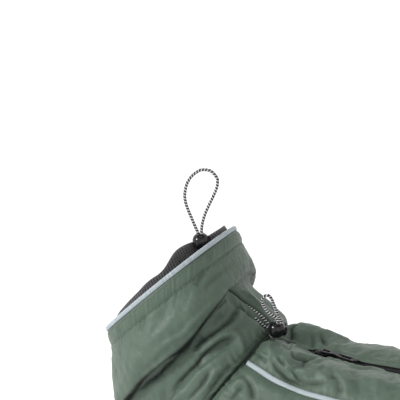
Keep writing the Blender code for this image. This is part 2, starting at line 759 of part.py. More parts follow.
def make_zip_slider():
    """T-shaped plate over the chain, with the arch that holds the pull."""
    length, width, thick = SLIDER_PLATE
    foot = ZIP_CHAIN_HEIGHT - WALL - ZIP_TAPE_SLACK
    stem, half = SLIDER_STEM_HALF, width / 2
    section = [
        (-stem, foot),
        (stem, foot),
        (stem, GAP),
        (half, GAP),
        (half, GAP + thick * 0.6),
        (half - 1.0, GAP + thick),
        (1.0 - half, GAP + thick),
        (-half, GAP + thick * 0.6),
        (-half, GAP),
        (-stem, GAP),
    ]
    rings = np.array([[(x, y, z) for y, z in section] for x in (-length / 2, length / 2)])
    slider = tube("zip_slider", rings, "metal")
    top = GAP + thick
    outer = [(-ARCH_LENGTH / 2, top - 1.0), (ARCH_LENGTH / 2, top - 1.0)]
    outer += [(ARCH_LENGTH / 2, top + ARCH_WINDOW + 0.5)]
    outer += [(ARCH_LENGTH / 2 - 1.2, top + ARCH_WINDOW + ARCH_BAR)]
    outer += [(1.2 - ARCH_LENGTH / 2, top + ARCH_WINDOW + ARCH_BAR)]
    outer += [(-ARCH_LENGTH / 2, top + ARCH_WINDOW + 0.5)]
    arch = tube(
        "slider_arch",
        np.array([[(x, y, z) for x, z in outer] for y in (-ARCH_WIDTH / 2, ARCH_WIDTH / 2)]),
        "metal",
    )
    join = slider.modifiers.new("join", "BOOLEAN")
    join.object = arch
    join.operation = "UNION"
    arch.hide_render = True
    arch.display_type = "WIRE"
    inside = ARCH_LENGTH / 2 - ARCH_BAR
    window = [(-inside, top), (inside, top), (inside, top + ARCH_WINDOW), (-inside, top + ARCH_WINDOW)]
    hole = tube(
        "slider_window",
        np.array([[(x, y, z) for x, z in window] for y in (-ARCH_WIDTH, ARCH_WIDTH)]),
        "metal",
    )
    cut(slider, hole)
    for piece in (slider, arch, hole):
        piece.matrix_world = slider_frame().matrix()


def pull_outline():
    """Half widths along the pull from its hinge: a ring, a neck and a rounded paddle."""
    shape = (
        (-0.75, 3.2),
        (0.4, 3.6),
        (8.0, 3.4),
        (10.6, 1.9),
        (13.5, 1.7),
        (16.0, 3.0),
        (31.0, 3.3),
        (34.0, 2.5),
        (PULL_LENGTH, 1.2),
    )
    return [(x, half) for x, half in shape] + [(x, -half) for x, half in reversed(shape)]


def make_zip_pull():
    frame = slider_frame()
    frame.place = frame.point(0, 0, hinge_height())
    pull = prism("zip_pull", pull_outline(), -PULL_THICKNESS / 2, PULL_THICKNESS / 2, "metal")
    ring = prism("pull_ring_hole", [(0.75, -1.8), (7.6, -1.8), (7.6, 1.8), (0.75, 1.8)], -3, 3)
    slot = prism("pull_slot", [(19.0, -1.1), (29.0, -1.3), (29.0, 1.3), (19.0, 1.1)], -3, 3)
    for piece in (pull, ring, slot):
        piece.matrix_world = frame.matrix()
    cut(pull, ring)
    cut(pull, slot)


# ---------------------------------------------------------------- drawcords and locks

LOCK_TOP = Frame((-116.6, -12.5, 91.9), (-0.15, 0.0, 0.989), (0.866, 0.5, 0.0))
LOCK_BASE = Frame((-39.0, -9.0, 20.0), (0.3, 0.0, 0.954), (0.866, 0.5, 0.0))
CORD_LIFT = CORD_DIAMETER / 2 + GAP + 0.4  # of a cord's line over the cloth it lies on

# Cord routes. Roots are in the part's frame, from the cloth to under the lock; the loop is in
# the lock's frame (side, across, up), from over the lock and back to it.
LOOP_TOP = (
    (-3.4, 0.3, 14.5),
    (-6.0, 0.9, 24.5),
    (-8.6, 1.6, 35.0),
    (-8.9, 2.0, 45.0),
    (-5.2, 2.0, 56.0),
    (1.4, 1.4, 63.5),
    (9.6, 0.6, 67.2),
    (17.2, -0.4, 65.6),
    (22.0, -1.2, 59.0),
    (21.2, -1.6, 50.4),
    (15.6, -1.5, 40.0),
    (8.6, -0.9, 28.5),
    (3.7, -0.3, 17.5),
)
ROOT_TOP_A = (
    (-99.3, -14.8, 79.9),
    (-103.0, -14.8, 75.8),
    (-108.0, -14.6, 73.2),
    (-113.2, -14.2, 74.8),
    (-116.0, -13.7, 78.6),
)
ROOT_TOP_B = (
    (-99.0, -10.4, 80.3),
    (-102.3, -10.4, 77.0),
    (-106.2, -10.5, 74.9),
    (-110.2, -10.8, 76.0),
    (-113.0, -11.2, 79.3),
)
LOOP_BASE = (
    (-3.6, 0.4, 11.5),
    (-9.5, 0.8, 16.0),
    (-16.0, 1.2, 20.5),
    (-20.8, 1.2, 27.0),
    (-21.4, 0.8, 33.0),
    (-17.6, 0.2, 35.2),
    (-12.6, -0.4, 31.4),
    (-7.6, -0.8, 24.6),
    (-3.4, -0.6, 17.6),
    (0.6, -0.2, 12.0),
)
# The lower cord's roots lie in the collar's back groove: places (row, turn) on the collar, and
# the last points before the lock.
ROOT_BASE_A = ((6.9, -8.0), (7.3, -6.4), (7.7, -4.9), (8.1, -3.5), (8.5, -2.6))
ROOT_BASE_A_END = ((-45.8, -7.6, 12.2),)
ROOT_BASE_B = ((6.9, -5.2), (7.3, -3.6), (7.7, -2.1), (8.1, -0.7), (8.5, 0.1))
ROOT_BASE_B_END = ((-43.6, -3.6, 11.6),)


def on_collar(places):
    row, turn = np.array(places).T
    return collar_surface(row, turn, CORD_LIFT) - seam_direction() * GAP / 2


def smooth_line(points):
    """Points on the smooth curve through a route's points, every one of which is kept."""
    points = np.array(points)
    at = []
    for index, span in enumerate(np.linalg.norm(np.diff(points, axis=0), axis=1)):
        count = max(1, round(span / CORD_POINT_STEP))
        at += [index + part / count for part in range(count)]
    return smooth_table(points, np.array(at + [len(points) - 1]))


def cord_route(lock, root_a, root_b, loop):
    """One line: out of the cloth, through the lock, round the loop, and back beside itself."""
    half = CORD_SPACING / 2
    inside = (-LOCK_LENGTH / 2 - 1.0, 0.0, LOCK_LENGTH / 2 + 1.0)
    there = [lock.point(-half, 0, up) for up in inside]
    back = [lock.point(half, 0, up) for up in reversed(inside)]
    middle = [lock.point(*place) for place in loop]
    return [*root_a, *there, *middle, *back, *reversed(root_b)]


def make_cord(name, lock, root_a, root_b, loop):
    line = smooth_line(cord_route(lock, root_a, root_b, loop))
    curve = bpy.data.curves.new(name, "CURVE")
    curve.dimensions = "3D"
    curve.bevel_depth = CORD_DIAMETER / 2 * MM
    curve.bevel_resolution = 2
    curve.use_fill_caps = True
    spline = curve.splines.new("POLY")
    spline.points.add(len(line) - 1)
    for point, place in zip(spline.points, line):
        point.co = (*(place * MM), 1.0)
    put_in_scene(name, curve, "cord")


def make_lock(word, frame):
    """Ball lock with a slot for two strands, and its spring button in a bore on one side."""
    steps = 9
    profile = []
    for step in range(steps + 1):
        angle = math.pi * (step / steps - 0.5)
        radius = LOCK_RADIUS * math.cos(angle) ** 0.85 if 0 < step < steps else 0.0
        profile.append((radius, LOCK_LENGTH / 2 * math.sin(angle)))
    body = turned(f"cord_lock_{word}", profile, 16, "plastic")
    half_long, half_wide = LOCK_SLOT[0] / 2, LOCK_SLOT[1] / 2
    slot = prism(f"slot_{word}", rounded_box(half_long, half_wide, half_wide - 0.01), -12, 12)
    cut(body, slot)
    to_side = Matrix.Rotation(math.radians(90), 4, "Y")
    bore = prism(f"bore_{word}", circle(BUTTON_RADIUS + GAP, 14), BUTTON_FOOT - GAP, 14)
    cut(body, bore)
    edge = BUTTON_RADIUS - 0.7
    profile = ((0, BUTTON_FOOT), (BUTTON_RADIUS, BUTTON_FOOT), (BUTTON_RADIUS, BUTTON_TOP - 0.8),
               (edge, BUTTON_TOP), (0, BUTTON_TOP + 0.2))
    button = turned(f"cord_button_{word}", profile, 14, "metal")
    for piece in (body, slot):
        piece.matrix_world = frame.matrix()
    for piece in (bore, button):
        piece.matrix_world = frame.matrix() @ to_side


# ---------------------------------------------------------------- scene


def clear_scene():
    for found in list(bpy.data.objects):
        bpy.data.objects.remove(found)


MATERIALS = {}


def main():
    clear_scene()
    for name, finish in (
        ("shell", SHELL_FINISH),
        ("knit", KNIT_FINISH),
        ("reflective", REFLECTIVE_FINISH),
        ("tape", TAPE_FINISH),
        ("plastic", PLASTIC_FINISH),
        ("metal", METAL_FINISH),
        ("cord", CORD_FINISH),
    ):
        MATERIALS[name] = material(name, finish)
    make_collar_shell()
    make_collar_piping()
    make_collar_lining()
    for word, side in (("left", -1), ("right", 1)):
        make_back_panel(f"back_{word}", side)
        make_side_panel(f"side_panel_{word}", side)
        make_side_piping(f"side_piping_{word}", side)
    make_chest_panel()
    make_zip_tape()
    make_zip_slider()
    make_zip_pull()
    make_lock("top", LOCK_TOP)
    make_lock("base", LOCK_BASE)
    make_cord("cord_loop_top", LOCK_TOP, ROOT_TOP_A, ROOT_TOP_B, LOOP_TOP)
    root_a = [*on_collar(ROOT_BASE_A), *ROOT_BASE_A_END]
    root_b = [*on_collar(ROOT_BASE_B), *ROOT_BASE_B_END]
    make_cord("cord_loop_base", LOCK_BASE, root_a, root_b, LOOP_BASE)


main()
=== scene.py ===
"""Looks of a dog winter coat: padded nylon, knit, piping, zip, drawcords and locks.

Every piece is made on the same surface as the part's solids. The surface is a row of rings, and
a point on it is (row, turn): row counts along a table of rings, and turn is the angle in degrees
round the ring, 0 on the back, positive to the dog's right (+Y) and negative to its left (-Y).
Tables are in millimetres, and become metres when a mesh is made.
"""

import math
from collections import namedtuple

import bmesh
import bpy
import numpy as np
from mathutils import Matrix, Vector

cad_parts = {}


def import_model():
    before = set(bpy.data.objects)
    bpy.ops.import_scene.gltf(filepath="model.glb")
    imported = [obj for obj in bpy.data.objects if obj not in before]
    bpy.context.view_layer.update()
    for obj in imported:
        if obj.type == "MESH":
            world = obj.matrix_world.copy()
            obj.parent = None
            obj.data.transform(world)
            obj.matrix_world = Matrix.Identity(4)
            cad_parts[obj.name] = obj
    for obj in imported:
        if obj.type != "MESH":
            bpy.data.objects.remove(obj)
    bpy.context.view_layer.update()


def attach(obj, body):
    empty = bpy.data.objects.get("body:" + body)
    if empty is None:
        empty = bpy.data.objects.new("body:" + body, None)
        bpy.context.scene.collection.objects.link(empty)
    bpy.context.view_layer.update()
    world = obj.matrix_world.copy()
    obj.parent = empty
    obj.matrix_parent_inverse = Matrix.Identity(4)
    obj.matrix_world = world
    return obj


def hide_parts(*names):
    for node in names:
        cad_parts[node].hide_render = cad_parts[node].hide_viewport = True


MM = 0.001

WALL = 2.0  # shell cloth with its padding
KNIT_WALL = 2.2  # inner collar
TAPE_WALL = 1.2  # zip tape
GAP = 0.3  # between two pieces that touch
EDGE_COLUMN = 2.5  # half the width of the side piping, nearly
CORD_POINT_STEP = 5.5

PIPING_HEIGHT = 2.0
RIM_PIPING_HEIGHT = 4.6
RIM_PIPING_WIDTH = 3.4

CORD_DIAMETER = 3.0
CORD_SPACING = 3.4
BRAID_PITCH = 2.8  # from one tick of the braid to the next
BRAID_STRANDS = 1  # each way round the cord
LOCK_RADIUS = 7.8
LOCK_LENGTH = 15.0
LOCK_SLOT = (CORD_DIAMETER + CORD_SPACING + 1.4, CORD_DIAMETER + 1.4)
BUTTON_RADIUS = 4.3
BUTTON_TOP = 9.4
BUTTON_FOOT = 5.3

ZIP_FRONT = -4.0
ZIP_REAR = 176.0
ZIP_TAPE_HALF = 13.0
ZIP_TAPE_SLACK = 0.25
ZIP_TAPE_END = 12.0  # of plain tape beyond the chain
ZIP_CHAIN_HEIGHT = 1.6
# Half the gap between the back panels over the zip, as (x, half gap).
ZIP_OPENING = (
    (-60, 0), (-12, 0), (-5, 4.7), (14, 4.7), (44, 3.6), (84, 5.4), (176, 5.4), (186, 0), (440, 0),
)
SLIDER_X = 3.0
SLIDER_PLATE = (12.0, 8.4, 2.2)
SLIDER_STEM_HALF = 2.2
ARCH_LENGTH = 7.6
ARCH_WIDTH = 2.4
ARCH_BAR = 1.5
ARCH_WINDOW = 2.4
PULL_THICKNESS = 1.5
PULL_LENGTH = 35.0

# The two rings that hold the collar: its rim and the seam that joins it to the body.
Ring = namedtuple("Ring", "nape_x nape_z throat_x throat_z half_width")
RIM = Ring(-102.0, 91.0, -207.0, -16.0, 76.0)
SEAM = Ring(-50.0, 9.5, -145.0, -155.0, 83.0)
SEAM_TUCK = 5.0  # how far the collar's lower edge turns in to the seam
RING_POWER = 2.15  # 2 is an ellipse, and more is squarer

# Collar rows from rim to seam: the share of the way along and how far out, where the big
# crease is at its deepest, and where the cloth is smooth.
CollarRow = namedtuple("CollarRow", "name along out along_smooth out_smooth")
COLLAR_ROWS = (
    CollarRow("rim", 0.00, 0.0, 0.00, 0.0),
    CollarRow("band", 0.15, 1.0, 0.14, 1.0),
    CollarRow("puff_top", 0.28, 4.0, 0.27, 3.5),
    CollarRow("puff", 0.41, 6.0, 0.40, 5.0),
    CollarRow("overhang", 0.515, 3.5, 0.50, 5.5),
    CollarRow("crease", 0.49, -7.0, 0.57, 5.0),
    CollarRow("under_crease", 0.60, -6.5, 0.65, 4.5),
    CollarRow("lower_puff", 0.76, -0.5, 0.77, 4.0),
    CollarRow("roll", 0.92, 3.0, 0.91, 3.5),
    CollarRow("tuck", 1.00, 0.5, 1.00, 0.5),
    CollarRow("seam", 1.00, -SEAM_TUCK, 1.00, -SEAM_TUCK),
)

# Round the collar: how deep the big crease is, how far it moves along towards the seam, and
# how far the middle of the collar swells out.
CreaseTurn = namedtuple("CreaseTurn", "turn depth shift swell")
CREASE_TURNS = (
    CreaseTurn(-180, 0.0, 0.00, 8.0),
    CreaseTurn(-145, 0.3, -0.05, 15.0),
    CreaseTurn(-115, 0.75, -0.06, 6.0),
    CreaseTurn(-90, 1.0, -0.06, 2.0),
    CreaseTurn(-60, 1.0, 0.00, 0.0),
    CreaseTurn(-40, 1.0, -0.03, -1.0),
    CreaseTurn(-15, 0.9, -0.09, -5.0),
    CreaseTurn(15, 0.8, -0.13, -8.0),
    CreaseTurn(50, 0.8, -0.08, -7.0),
    CreaseTurn(90, 1.0, 0.00, -1.0),
    CreaseTurn(135, 0.4, -0.04, 4.0),
    CreaseTurn(180, 0.0, 0.00, 8.0),
)

# Folds: soft troughs (depth below 0) and ridges between two places on the surface.
Fold = namedtuple("Fold", "row_a turn_a row_b turn_b depth width")
COLLAR_FOLDS = (
    Fold(6.0, -58, 6.9, -29, 3.2, 8.0),
    Fold(6.8, -30, 8.8, -26, 1.8, 8.0),
    Fold(7.4, -27, 6.8, -60, -3.6, 7.0),
    Fold(6.9, -54, 6.7, -96, -3.0, 8.0),
    Fold(6.9, -70, 7.8, -124, 2.6, 10.0),
    Fold(5.3, -13, 9.3, 3, -5.0, 6.0),
    Fold(1.6, -62, 3.6, -104, 2.0, 15.0),
    Fold(1.6, -112, 3.4, -150, -2.4, 15.0),
    Fold(2.0, 60, 3.6, 104, -2.2, 18.0),
    Fold(1.8, 120, 3.8, 158, 2.4, 16.0),
    Fold(6.0, 20, 8.9, 36, -7.0, 17.0),
    Fold(6.4, 50, 8.2, 74, 3.0, 12.0),
    Fold(6.6, 70, 6.9, 116, -2.6, 10.0),
    Fold(7.2, 130, 8.0, 170, -2.4, 12.0),
)

# Body rings from the collar seam to the hem. Power is how square the back is, and puff how
# far the back panels puff up between the zip and the piping. Turns give the panels' edges: the
# piping between back and side, the lower edge of the side panel, and the edge of the chest
# panel. Lift moves the chest panel out where its flap laps over the side panels.
Section = namedtuple(
    "Section",
    "name top_x top_z low_x low_z half_width power puff"
    " piping_turn side_turn chest_turn chest_lift",
)


def tucked(ring, tuck):
    """Top and low points and half width of a ring made smaller all round."""
    top = np.array([ring.nape_x, ring.nape_z])
    low = np.array([ring.throat_x, ring.throat_z])
    inward = (low - top) / np.linalg.norm(low - top)
    return (*(top + inward * tuck), *(low - inward * tuck), ring.half_width - tuck)


SECTIONS = (
    Section("seam", *tucked(SEAM, SEAM_TUCK), 2.15, 0.0, 28.0, 139.0, 139.0, 0.0),
    Section("neck_root", -43.0, 5.5, -150.0, -168.0, 86.0, 2.3, 5.0, 29.0, 138.5, 138.5, 0.0),
    Section("shoulder", -30.0, 6.5, -146.0, -190.0, 92.0, 2.4, 9.0, 30.2, 126.0, 148.0, 0.0),
    Section("withers", -12.0, 3.0, -122.0, -214.0, 97.0, 2.4, 10.0, 30.2, 117.0, 157.0, 0.0),
    Section("foreleg", 14.0, 1.2, -84.0, -233.0, 100.0, 2.4, 8.0, 30.6, 116.0, 158.0, 2.0),
    Section("elbow", 44.0, 2.2, -36.0, -244.0, 102.0, 2.4, 7.5, 30.7, 124.0, 146.0, 4.2),
    Section("girth", 86.0, 4.2, 24.0, -248.0, 103.0, 2.4, 6.5, 31.0, 130.0, 118.0, 4.2),
    Section("belly", 150.0, 3.0, 122.0, -238.0, 102.0, 2.4, 5.5, 31.5, 127.0, 114.0, 4.2),
    Section("loin", 240.0, -4.0, 232.0, -216.0, 99.0, 2.3, 4.0, 32.5, 116.0, 114.0, 4.2),
    Section("rump", 340.0, -6.5, 345.0, -190.0, 96.0, 2.2, 2.0, 34.0, 106.0, 114.0, 4.2),
    Section("hem", 432.0, -11.0, 432.0, -172.0, 92.0, 2.15, 0.0, 38.0, 84.0, 114.0, 4.2),
)
CHEST_LAST_ROW = 7.15  # the belly flap ends just past the ring called belly
PUFF_SHIFT = 1.3  # above 1, the puff is highest nearer the piping

BODY_FOLDS = (
    Fold(0.8, 14, 3.0, 24, 2.5, 14.0),
    Fold(0.8, -10, 2.4, -26, 3.5, 11.0),
    Fold(1.7, -3, 2.7, -14, -3.0, 8.0),
    Fold(2.6, -10, 3.3, -24, 3.0, 8.0),
    Fold(3.2, -27, 4.0, -10, -3.0, 8.0),
    Fold(3.8, 8, 4.6, 30, -3.0, 12.0),
    Fold(4.0, -8, 5.4, -26, 2.4, 12.0),
    Fold(2.2, -46, 3.2, -74, 3.0, 14.0),
    Fold(2.0, 48, 3.4, 80, 3.0, 15.0),
    Fold(4.4, -46, 5.6, -84, -3.0, 18.0),
    Fold(4.6, 46, 5.8, 90, -3.0, 18.0),
    Fold(7.0, -44, 8.2, -86, 3.0, 26.0),
    Fold(7.4, 44, 8.6, 92, 3.0, 26.0),
    Fold(8.8, -46, 9.6, -74, -3.0, 26.0),
    Fold(8.6, 48, 9.5, 80, -3.0, 26.0),
)

# Top edge of the inner collar round the neck: how far it stands above the rim, and how far it
# lies inside the collar's rings.
LiningTurn = namedtuple("LiningTurn", "turn stand inside")
LINING_TURNS = (
    LiningTurn(-180, 3.0, 12.0),
    LiningTurn(-130, 5.0, 14.0),
    LiningTurn(-85, 8.0, 17.0),
    LiningTurn(-60, 13.0, 19.5),
    LiningTurn(-40, 18.0, 20.5),
    LiningTurn(-20, 15.5, 20.5),
    LiningTurn(0, 11.0, 17.0),
    LiningTurn(20, 9.5, 9.5),
    LiningTurn(50, 10.0, 7.0),
    LiningTurn(80, 9.0, 9.0),
    LiningTurn(130, 6.0, 12.0),
    LiningTurn(180, 3.0, 12.0),
)
# Inner collar rows: share of the way along, how far inside the collar's rings, and how much
# of that follows the top edge.
LiningRow = namedtuple("LiningRow", "along inside follow")
LINING_ROWS = (
    LiningRow(0.00, 20.0, 1.0),
    LiningRow(0.25, 19.0, 0.45),
    LiningRow(0.50, 17.5, 0.0),
    LiningRow(0.75, 15.5, 0.0),
    LiningRow(0.90, 13.5, 0.0),
    LiningRow(0.985, SEAM_TUCK + GAP + 0.7, 0.0),
)

# ---------------------------------------------------------------- the lofted surface


def unit(vectors):
    """Vectors made one long."""
    return vectors / np.maximum(np.linalg.norm(vectors, axis=-1, keepdims=True), 1e-9)


def run_length(points):
    """Length along a line of points, from 0 at its start."""
    return np.concatenate([[0], np.cumsum(np.linalg.norm(np.diff(points, axis=0), axis=1))])


def smooth_table(values, at):
    """Read a table's numeric rows (n, k) at real-valued positions, on a Catmull-Rom curve."""
    values = np.asarray(values, float)
    last = len(values) - 1
    at = np.clip(np.asarray(at, float), 0.0, last)
    start = np.minimum(at.astype(int), last - 1)
    step = (at - start)[..., None]
    before = values[np.maximum(start - 1, 0)]
    here, after = values[start], values[start + 1]
    beyond = values[np.minimum(start + 2, last)]
    slope_a = (after - before) / 2
    slope_b = (beyond - here) / 2
    return (
        here * (2 * step**3 - 3 * step**2 + 1)
        + slope_a * (step**3 - 2 * step**2 + step)
        + after * (3 * step**2 - 2 * step**3)
        + slope_b * (step**3 - step**2)
    )


def by_turn(table, column, turn):
    """A column of a table that is keyed by turn, joined smoothly."""
    turns = np.array([row.turn for row in table], float)
    values = np.array([[getattr(row, column)] for row in table], float)
    position = np.interp(wrapped(turn), turns, np.arange(len(turns)))
    return smooth_table(values, position)[..., 0]


def wrapped(turn):
    return (np.asarray(turn, float) + 180.0) % 360.0 - 180.0


def oval(top, low, half_width, power, turn):
    """Points of a ring from its top and low points (x, z), with turn in degrees."""
    angle = np.radians(turn)
    up, side = np.cos(angle), np.sin(angle)
    reach = (np.abs(up) ** power + np.abs(side) ** power) ** (-1.0 / power)
    middle, axis = (top + low) / 2, (top - low) / 2
    point = middle + axis * (up * reach)[..., None]
    return np.stack([point[..., 0], half_width * side * reach, point[..., 1]], -1)


def collar_ring(along, out, turn):
    """The collar's base surface: share along from rim to seam, and distance out from it."""
    along = np.asarray(along, float)[..., None]
    nape = (1 - along) * [RIM.nape_x, RIM.nape_z] + along * [SEAM.nape_x, SEAM.nape_z]
    throat = (1 - along) * [RIM.throat_x, RIM.throat_z] + along * [SEAM.throat_x, SEAM.throat_z]
    outward = unit(nape - throat)
    out = np.asarray(out, float)
    nape = nape + outward * out[..., None]
    throat = throat - outward * out[..., None]
    width = (1 - along[..., 0]) * RIM.half_width + along[..., 0] * SEAM.half_width + out
    return oval(nape, throat, width, RING_POWER, turn)


def collar_base(row, turn):
    """The collar's surface with its big crease."""
    values = smooth_table([item[1:] for item in COLLAR_ROWS], row)
    depth = by_turn(CREASE_TURNS, "depth", turn)
    shift = by_turn(CREASE_TURNS, "shift", turn)
    along = depth * values[..., 0] + (1 - depth) * values[..., 2]
    out = depth * values[..., 1] + (1 - depth) * values[..., 3]
    middle = np.sin(np.pi * np.clip(along, 0, 1)) ** 2
    swell = by_turn(CREASE_TURNS, "swell", turn)
    return collar_ring(along + shift * middle, out + swell * middle, turn)


def body_base(row, turn):
    values = smooth_table([item[1:7] for item in SECTIONS], row)
    return oval(
        values[..., 0:2], values[..., 2:4], values[..., 4], values[..., 5], turn
    )


def body_column(name, row):
    index = Section._fields.index(name)
    return smooth_table([[item[index]] for item in SECTIONS], row)[..., 0]


def edge_turn(name, row):
    """Turn of a panel's edge; straight over the first span, where the leg hole hasn't begun."""
    index = Section._fields.index(name)
    straight = SECTIONS[0][index] * (1 - row) + SECTIONS[1][index] * row
    return np.where(np.asarray(row) < 1, straight, body_column(name, row))


def outward_normal(surface, row, turn):
    """Unit normal of a surface function, from small steps along it."""
    small_row, small_turn = 0.02, 0.3
    along = surface(row + small_row, turn) - surface(row - small_row, turn)
    around = surface(row, turn + small_turn) - surface(row, turn - small_turn)
    return unit(np.cross(along, around))


def fold_height(folds, surface, row, turn):
    """Sum of the folds at each point, each a soft bump round the line between its two ends."""
    points = surface(row, turn)
    height = np.zeros(points.shape[:-1])
    for fold in folds:
        line = surface(
            np.linspace(fold.row_a, fold.row_b, 9), np.linspace(fold.turn_a, fold.turn_b, 9)
        )
        share, distance = nearest_on_line(points, line)
        taper = np.sin(np.pi * np.clip(share, 0.02, 0.98)) ** 0.7
        height += fold.depth * taper * np.exp(-((distance / fold.width) ** 2) * 2)
    return height


def nearest_on_line(points, line):
    """How far along a line of points each point lies (0 to 1), and its distance from it."""
    best = np.full(points.shape[:-1], np.inf)
    share = np.zeros(points.shape[:-1])
    for index, (a, b) in enumerate(zip(line[:-1], line[1:])):
        step = b - a
        along = np.clip(((points - a) @ step) / (step @ step), 0, 1)
        distance = np.linalg.norm(points - a - along[..., None] * step, axis=-1)
        closer = distance < best
        best = np.where(closer, distance, best)
        share = np.where(closer, (index + along) / (len(line) - 1), share)
    return share, best


def collar_surface(row, turn, lift=0.0):
    """Outer face of the collar shell; lift moves it out along its normal."""
    normal = outward_normal(collar_base, row, turn)
    fade = np.clip((len(COLLAR_ROWS) - 2 - row) / 0.8, 0, 1) * np.clip(row / 1.2, 0, 1)
    height = fold_height(COLLAR_FOLDS, collar_base, row, turn) * fade
    return collar_base(row, turn) + normal * (height + lift)[..., None]


def puff_height(row, turn):
    share = np.clip(np.abs(wrapped(turn)) / body_column("piping_turn", row), 0, 1)
    return body_column("puff", row) * np.sin(np.pi * share**PUFF_SHIFT)


def body_surface(row, turn, lift=0.0):
    """Outer face of the body panels; lift moves it out along its normal."""
    normal = outward_normal(body_base, row, turn)
    fade = np.clip(row / 0.8, 0, 1)
    height = fold_height(BODY_FOLDS, body_base, row, turn) * fade
    height = height + puff_height(row, turn)
    return body_base(row, turn) + normal * (height + lift)[..., None]


def seam_direction():
    """Unit vector across the collar seam, from the collar to the body."""
    fall = np.array([SEAM.nape_x - SEAM.throat_x, SEAM.nape_z - SEAM.throat_z])
    fall /= np.linalg.norm(fall)
    return np.array([fall[1], 0.0, -fall[0]])


# ---------------------------------------------------------------- fine detail

# Small folds and creases on the collar and on the body.
FINE_COLLAR_FOLDS = (
    Fold(2.2, -90, 4.4, -116, 1.3, 8.0),
    Fold(6.2, -84, 8.2, -112, -1.6, 5.0),
    Fold(2.4, 30, 4.4, 44, 1.2, 7.0),
    Fold(2.2, 60, 4.2, 76, -1.2, 7.0),
    Fold(6.4, 50, 8.4, 84, 1.6, 5.0),
    Fold(6.6, 90, 8.6, 124, -1.5, 5.0),
    Fold(2.4, 130, 4.4, 150, 1.4, 8.0),
)
FINE_BODY_FOLDS = (
    Fold(1.2, -54, 2.4, -68, 1.4, 6.0),
    Fold(0.8, 10, 1.4, 18, 1.5, 4.5),
    Fold(3.0, 16, 4.6, 22, 1.2, 6.0),
    Fold(1.0, 36, 2.2, 50, 1.5, 6.0),
    Fold(0.8, 60, 2.0, 80, -1.5, 6.0),
    Fold(0.8, -70, 2.0, -96, 1.6, 7.0),
    Fold(0.9, -100, 1.9, -118, -1.5, 6.0),
    Fold(1.0, 96, 2.0, 116, 1.5, 7.0),
)
# Creases seen in the cloth: depth (below 0 sinks), half width, whether it is sharp, and the
# places (row, turn) that it runs through.
Crease = namedtuple("Crease", "depth width sharp places")
COLLAR_CREASES = (
    Crease(2.4, 3, False, ((5.05, -14), (5.05, -24), (5.05, -36), (5.05, -48), (5.05, -60))),
    Crease(1.7, 4, False, (
        (3.5, -21), (3.4, -37.5), (3.19, -49.8), (3.25, -57.2), (3.05, -66.5), (3.1, -77.8),
        (3.24, -87.5),
    )),
    Crease(-4.5, 1.7, True, (
        (5.39, -66.8), (5.6, -75), (5.68, -82.8), (5.76, -91.8), (5.6, -101.2), (5.39, -111.5),
    )),
    Crease(2, 3, False, ((3.64, -69.5), (3.79, -78), (3.88, -87.5), (3.93, -96.8))),
    Crease(-4.6, 2.2, True, (
        (7.16, -32.2), (6.96, -38.5), (6.83, -43.8), (6.66, -51.5), (6.66, -58.5), (6.66, -68.5),
        (6.74, -79.8), (6.95, -86.5),
    )),
    Crease(2.7, 3.4, False, (
        (6, -57.8), (6.39, -53), (6.56, -47), (6.71, -38.5), (6.99, -31), (7.4, -26.2), (7.79, -27),
        (8.34, -28.8),
    )),
    Crease(1.9, 5.5, False, (
        (7.69, -29.2), (7.53, -37.2), (7.39, -45.8), (7.19, -54), (7.09, -65), (7.16, -74.8),
    )),
    Crease(-1.8, 5, False, ((5.75, -46.8), (5.79, -52.2), (5.85, -55.8))),
    Crease(-2.4, 3.2, False, (
        (6.34, -6.5), (6.44, -18), (6.48, -26.5), (6.31, -36.5), (6.01, -47), (5.89, -52.8),
    )),
    Crease(2.8, 3.5, False, (
        (5.71, -12), (5.6, -27.5), (5.51, -39.5), (5.39, -49.5), (5.58, -57.5),
    )),
    Crease(2.2, 4, False, ((6.55, -7), (6.8, -19), (6.78, -29.2), (6.55, -38.5))),
    Crease(1.7, 1.6, False, ((6.44, -5.2), (6.73, -6.2), (7, -13))),
    Crease(-6, 1.9, True, (
        (3.9, -16), (4.9, -9), (5.7, -3), (6.3, -0.5), (6.85, 1), (7.4, 1.8), (7.9, 2.2),
        (8.6, 2.6),
    )),
    Crease(2.5, 2.4, False, ((3.95, -6), (6.19, 7), (6.86, 7.5), (7.39, 7.5))),
    Crease(1.7, 2.6, False, ((5.88, -9), (6.53, -5.8), (7.09, -4.2), (7.73, -7.8))),
    Crease(-3.5, 2.8, True, (
        (7.48, -53.2), (7.6, -56.2), (7.65, -61.2), (7.64, -67.2), (7.64, -72),
    )),
    Crease(2.2, 4, False, ((7.9, -42.8), (7.79, -50.2), (7.91, -56.2), (7.96, -62.2))),
    Crease(-2, 3, False, ((8.4, -38), (8.38, -45.2), (8.46, -51.8), (8.51, -57.5))),
    Crease(-2, 6, False, ((0.99, -26.2), (1.18, -32.2), (1.53, -37))),
    Crease(-1.7, 5, False, ((2.44, -2.2), (2.15, -17.8), (2.1, -27.2), (2.27, -33.5))),
    Crease(1.4, 6, False, ((1.38, -36.5), (1.91, -41), (2.25, -46.5), (2.34, -54))),
    Crease(-0.9, 8, False, ((0.7, -50), (0.94, -56), (1.23, -65), (1.65, -72), (2.2, -77.8))),
    Crease(0.6, 7, False, ((0.6, -67), (1, -73.5), (1.71, -80.2), (2.33, -86))),
    Crease(-1.4, 6, False, ((0.43, -76), (0.84, -82.2), (1.41, -87.2))),
)
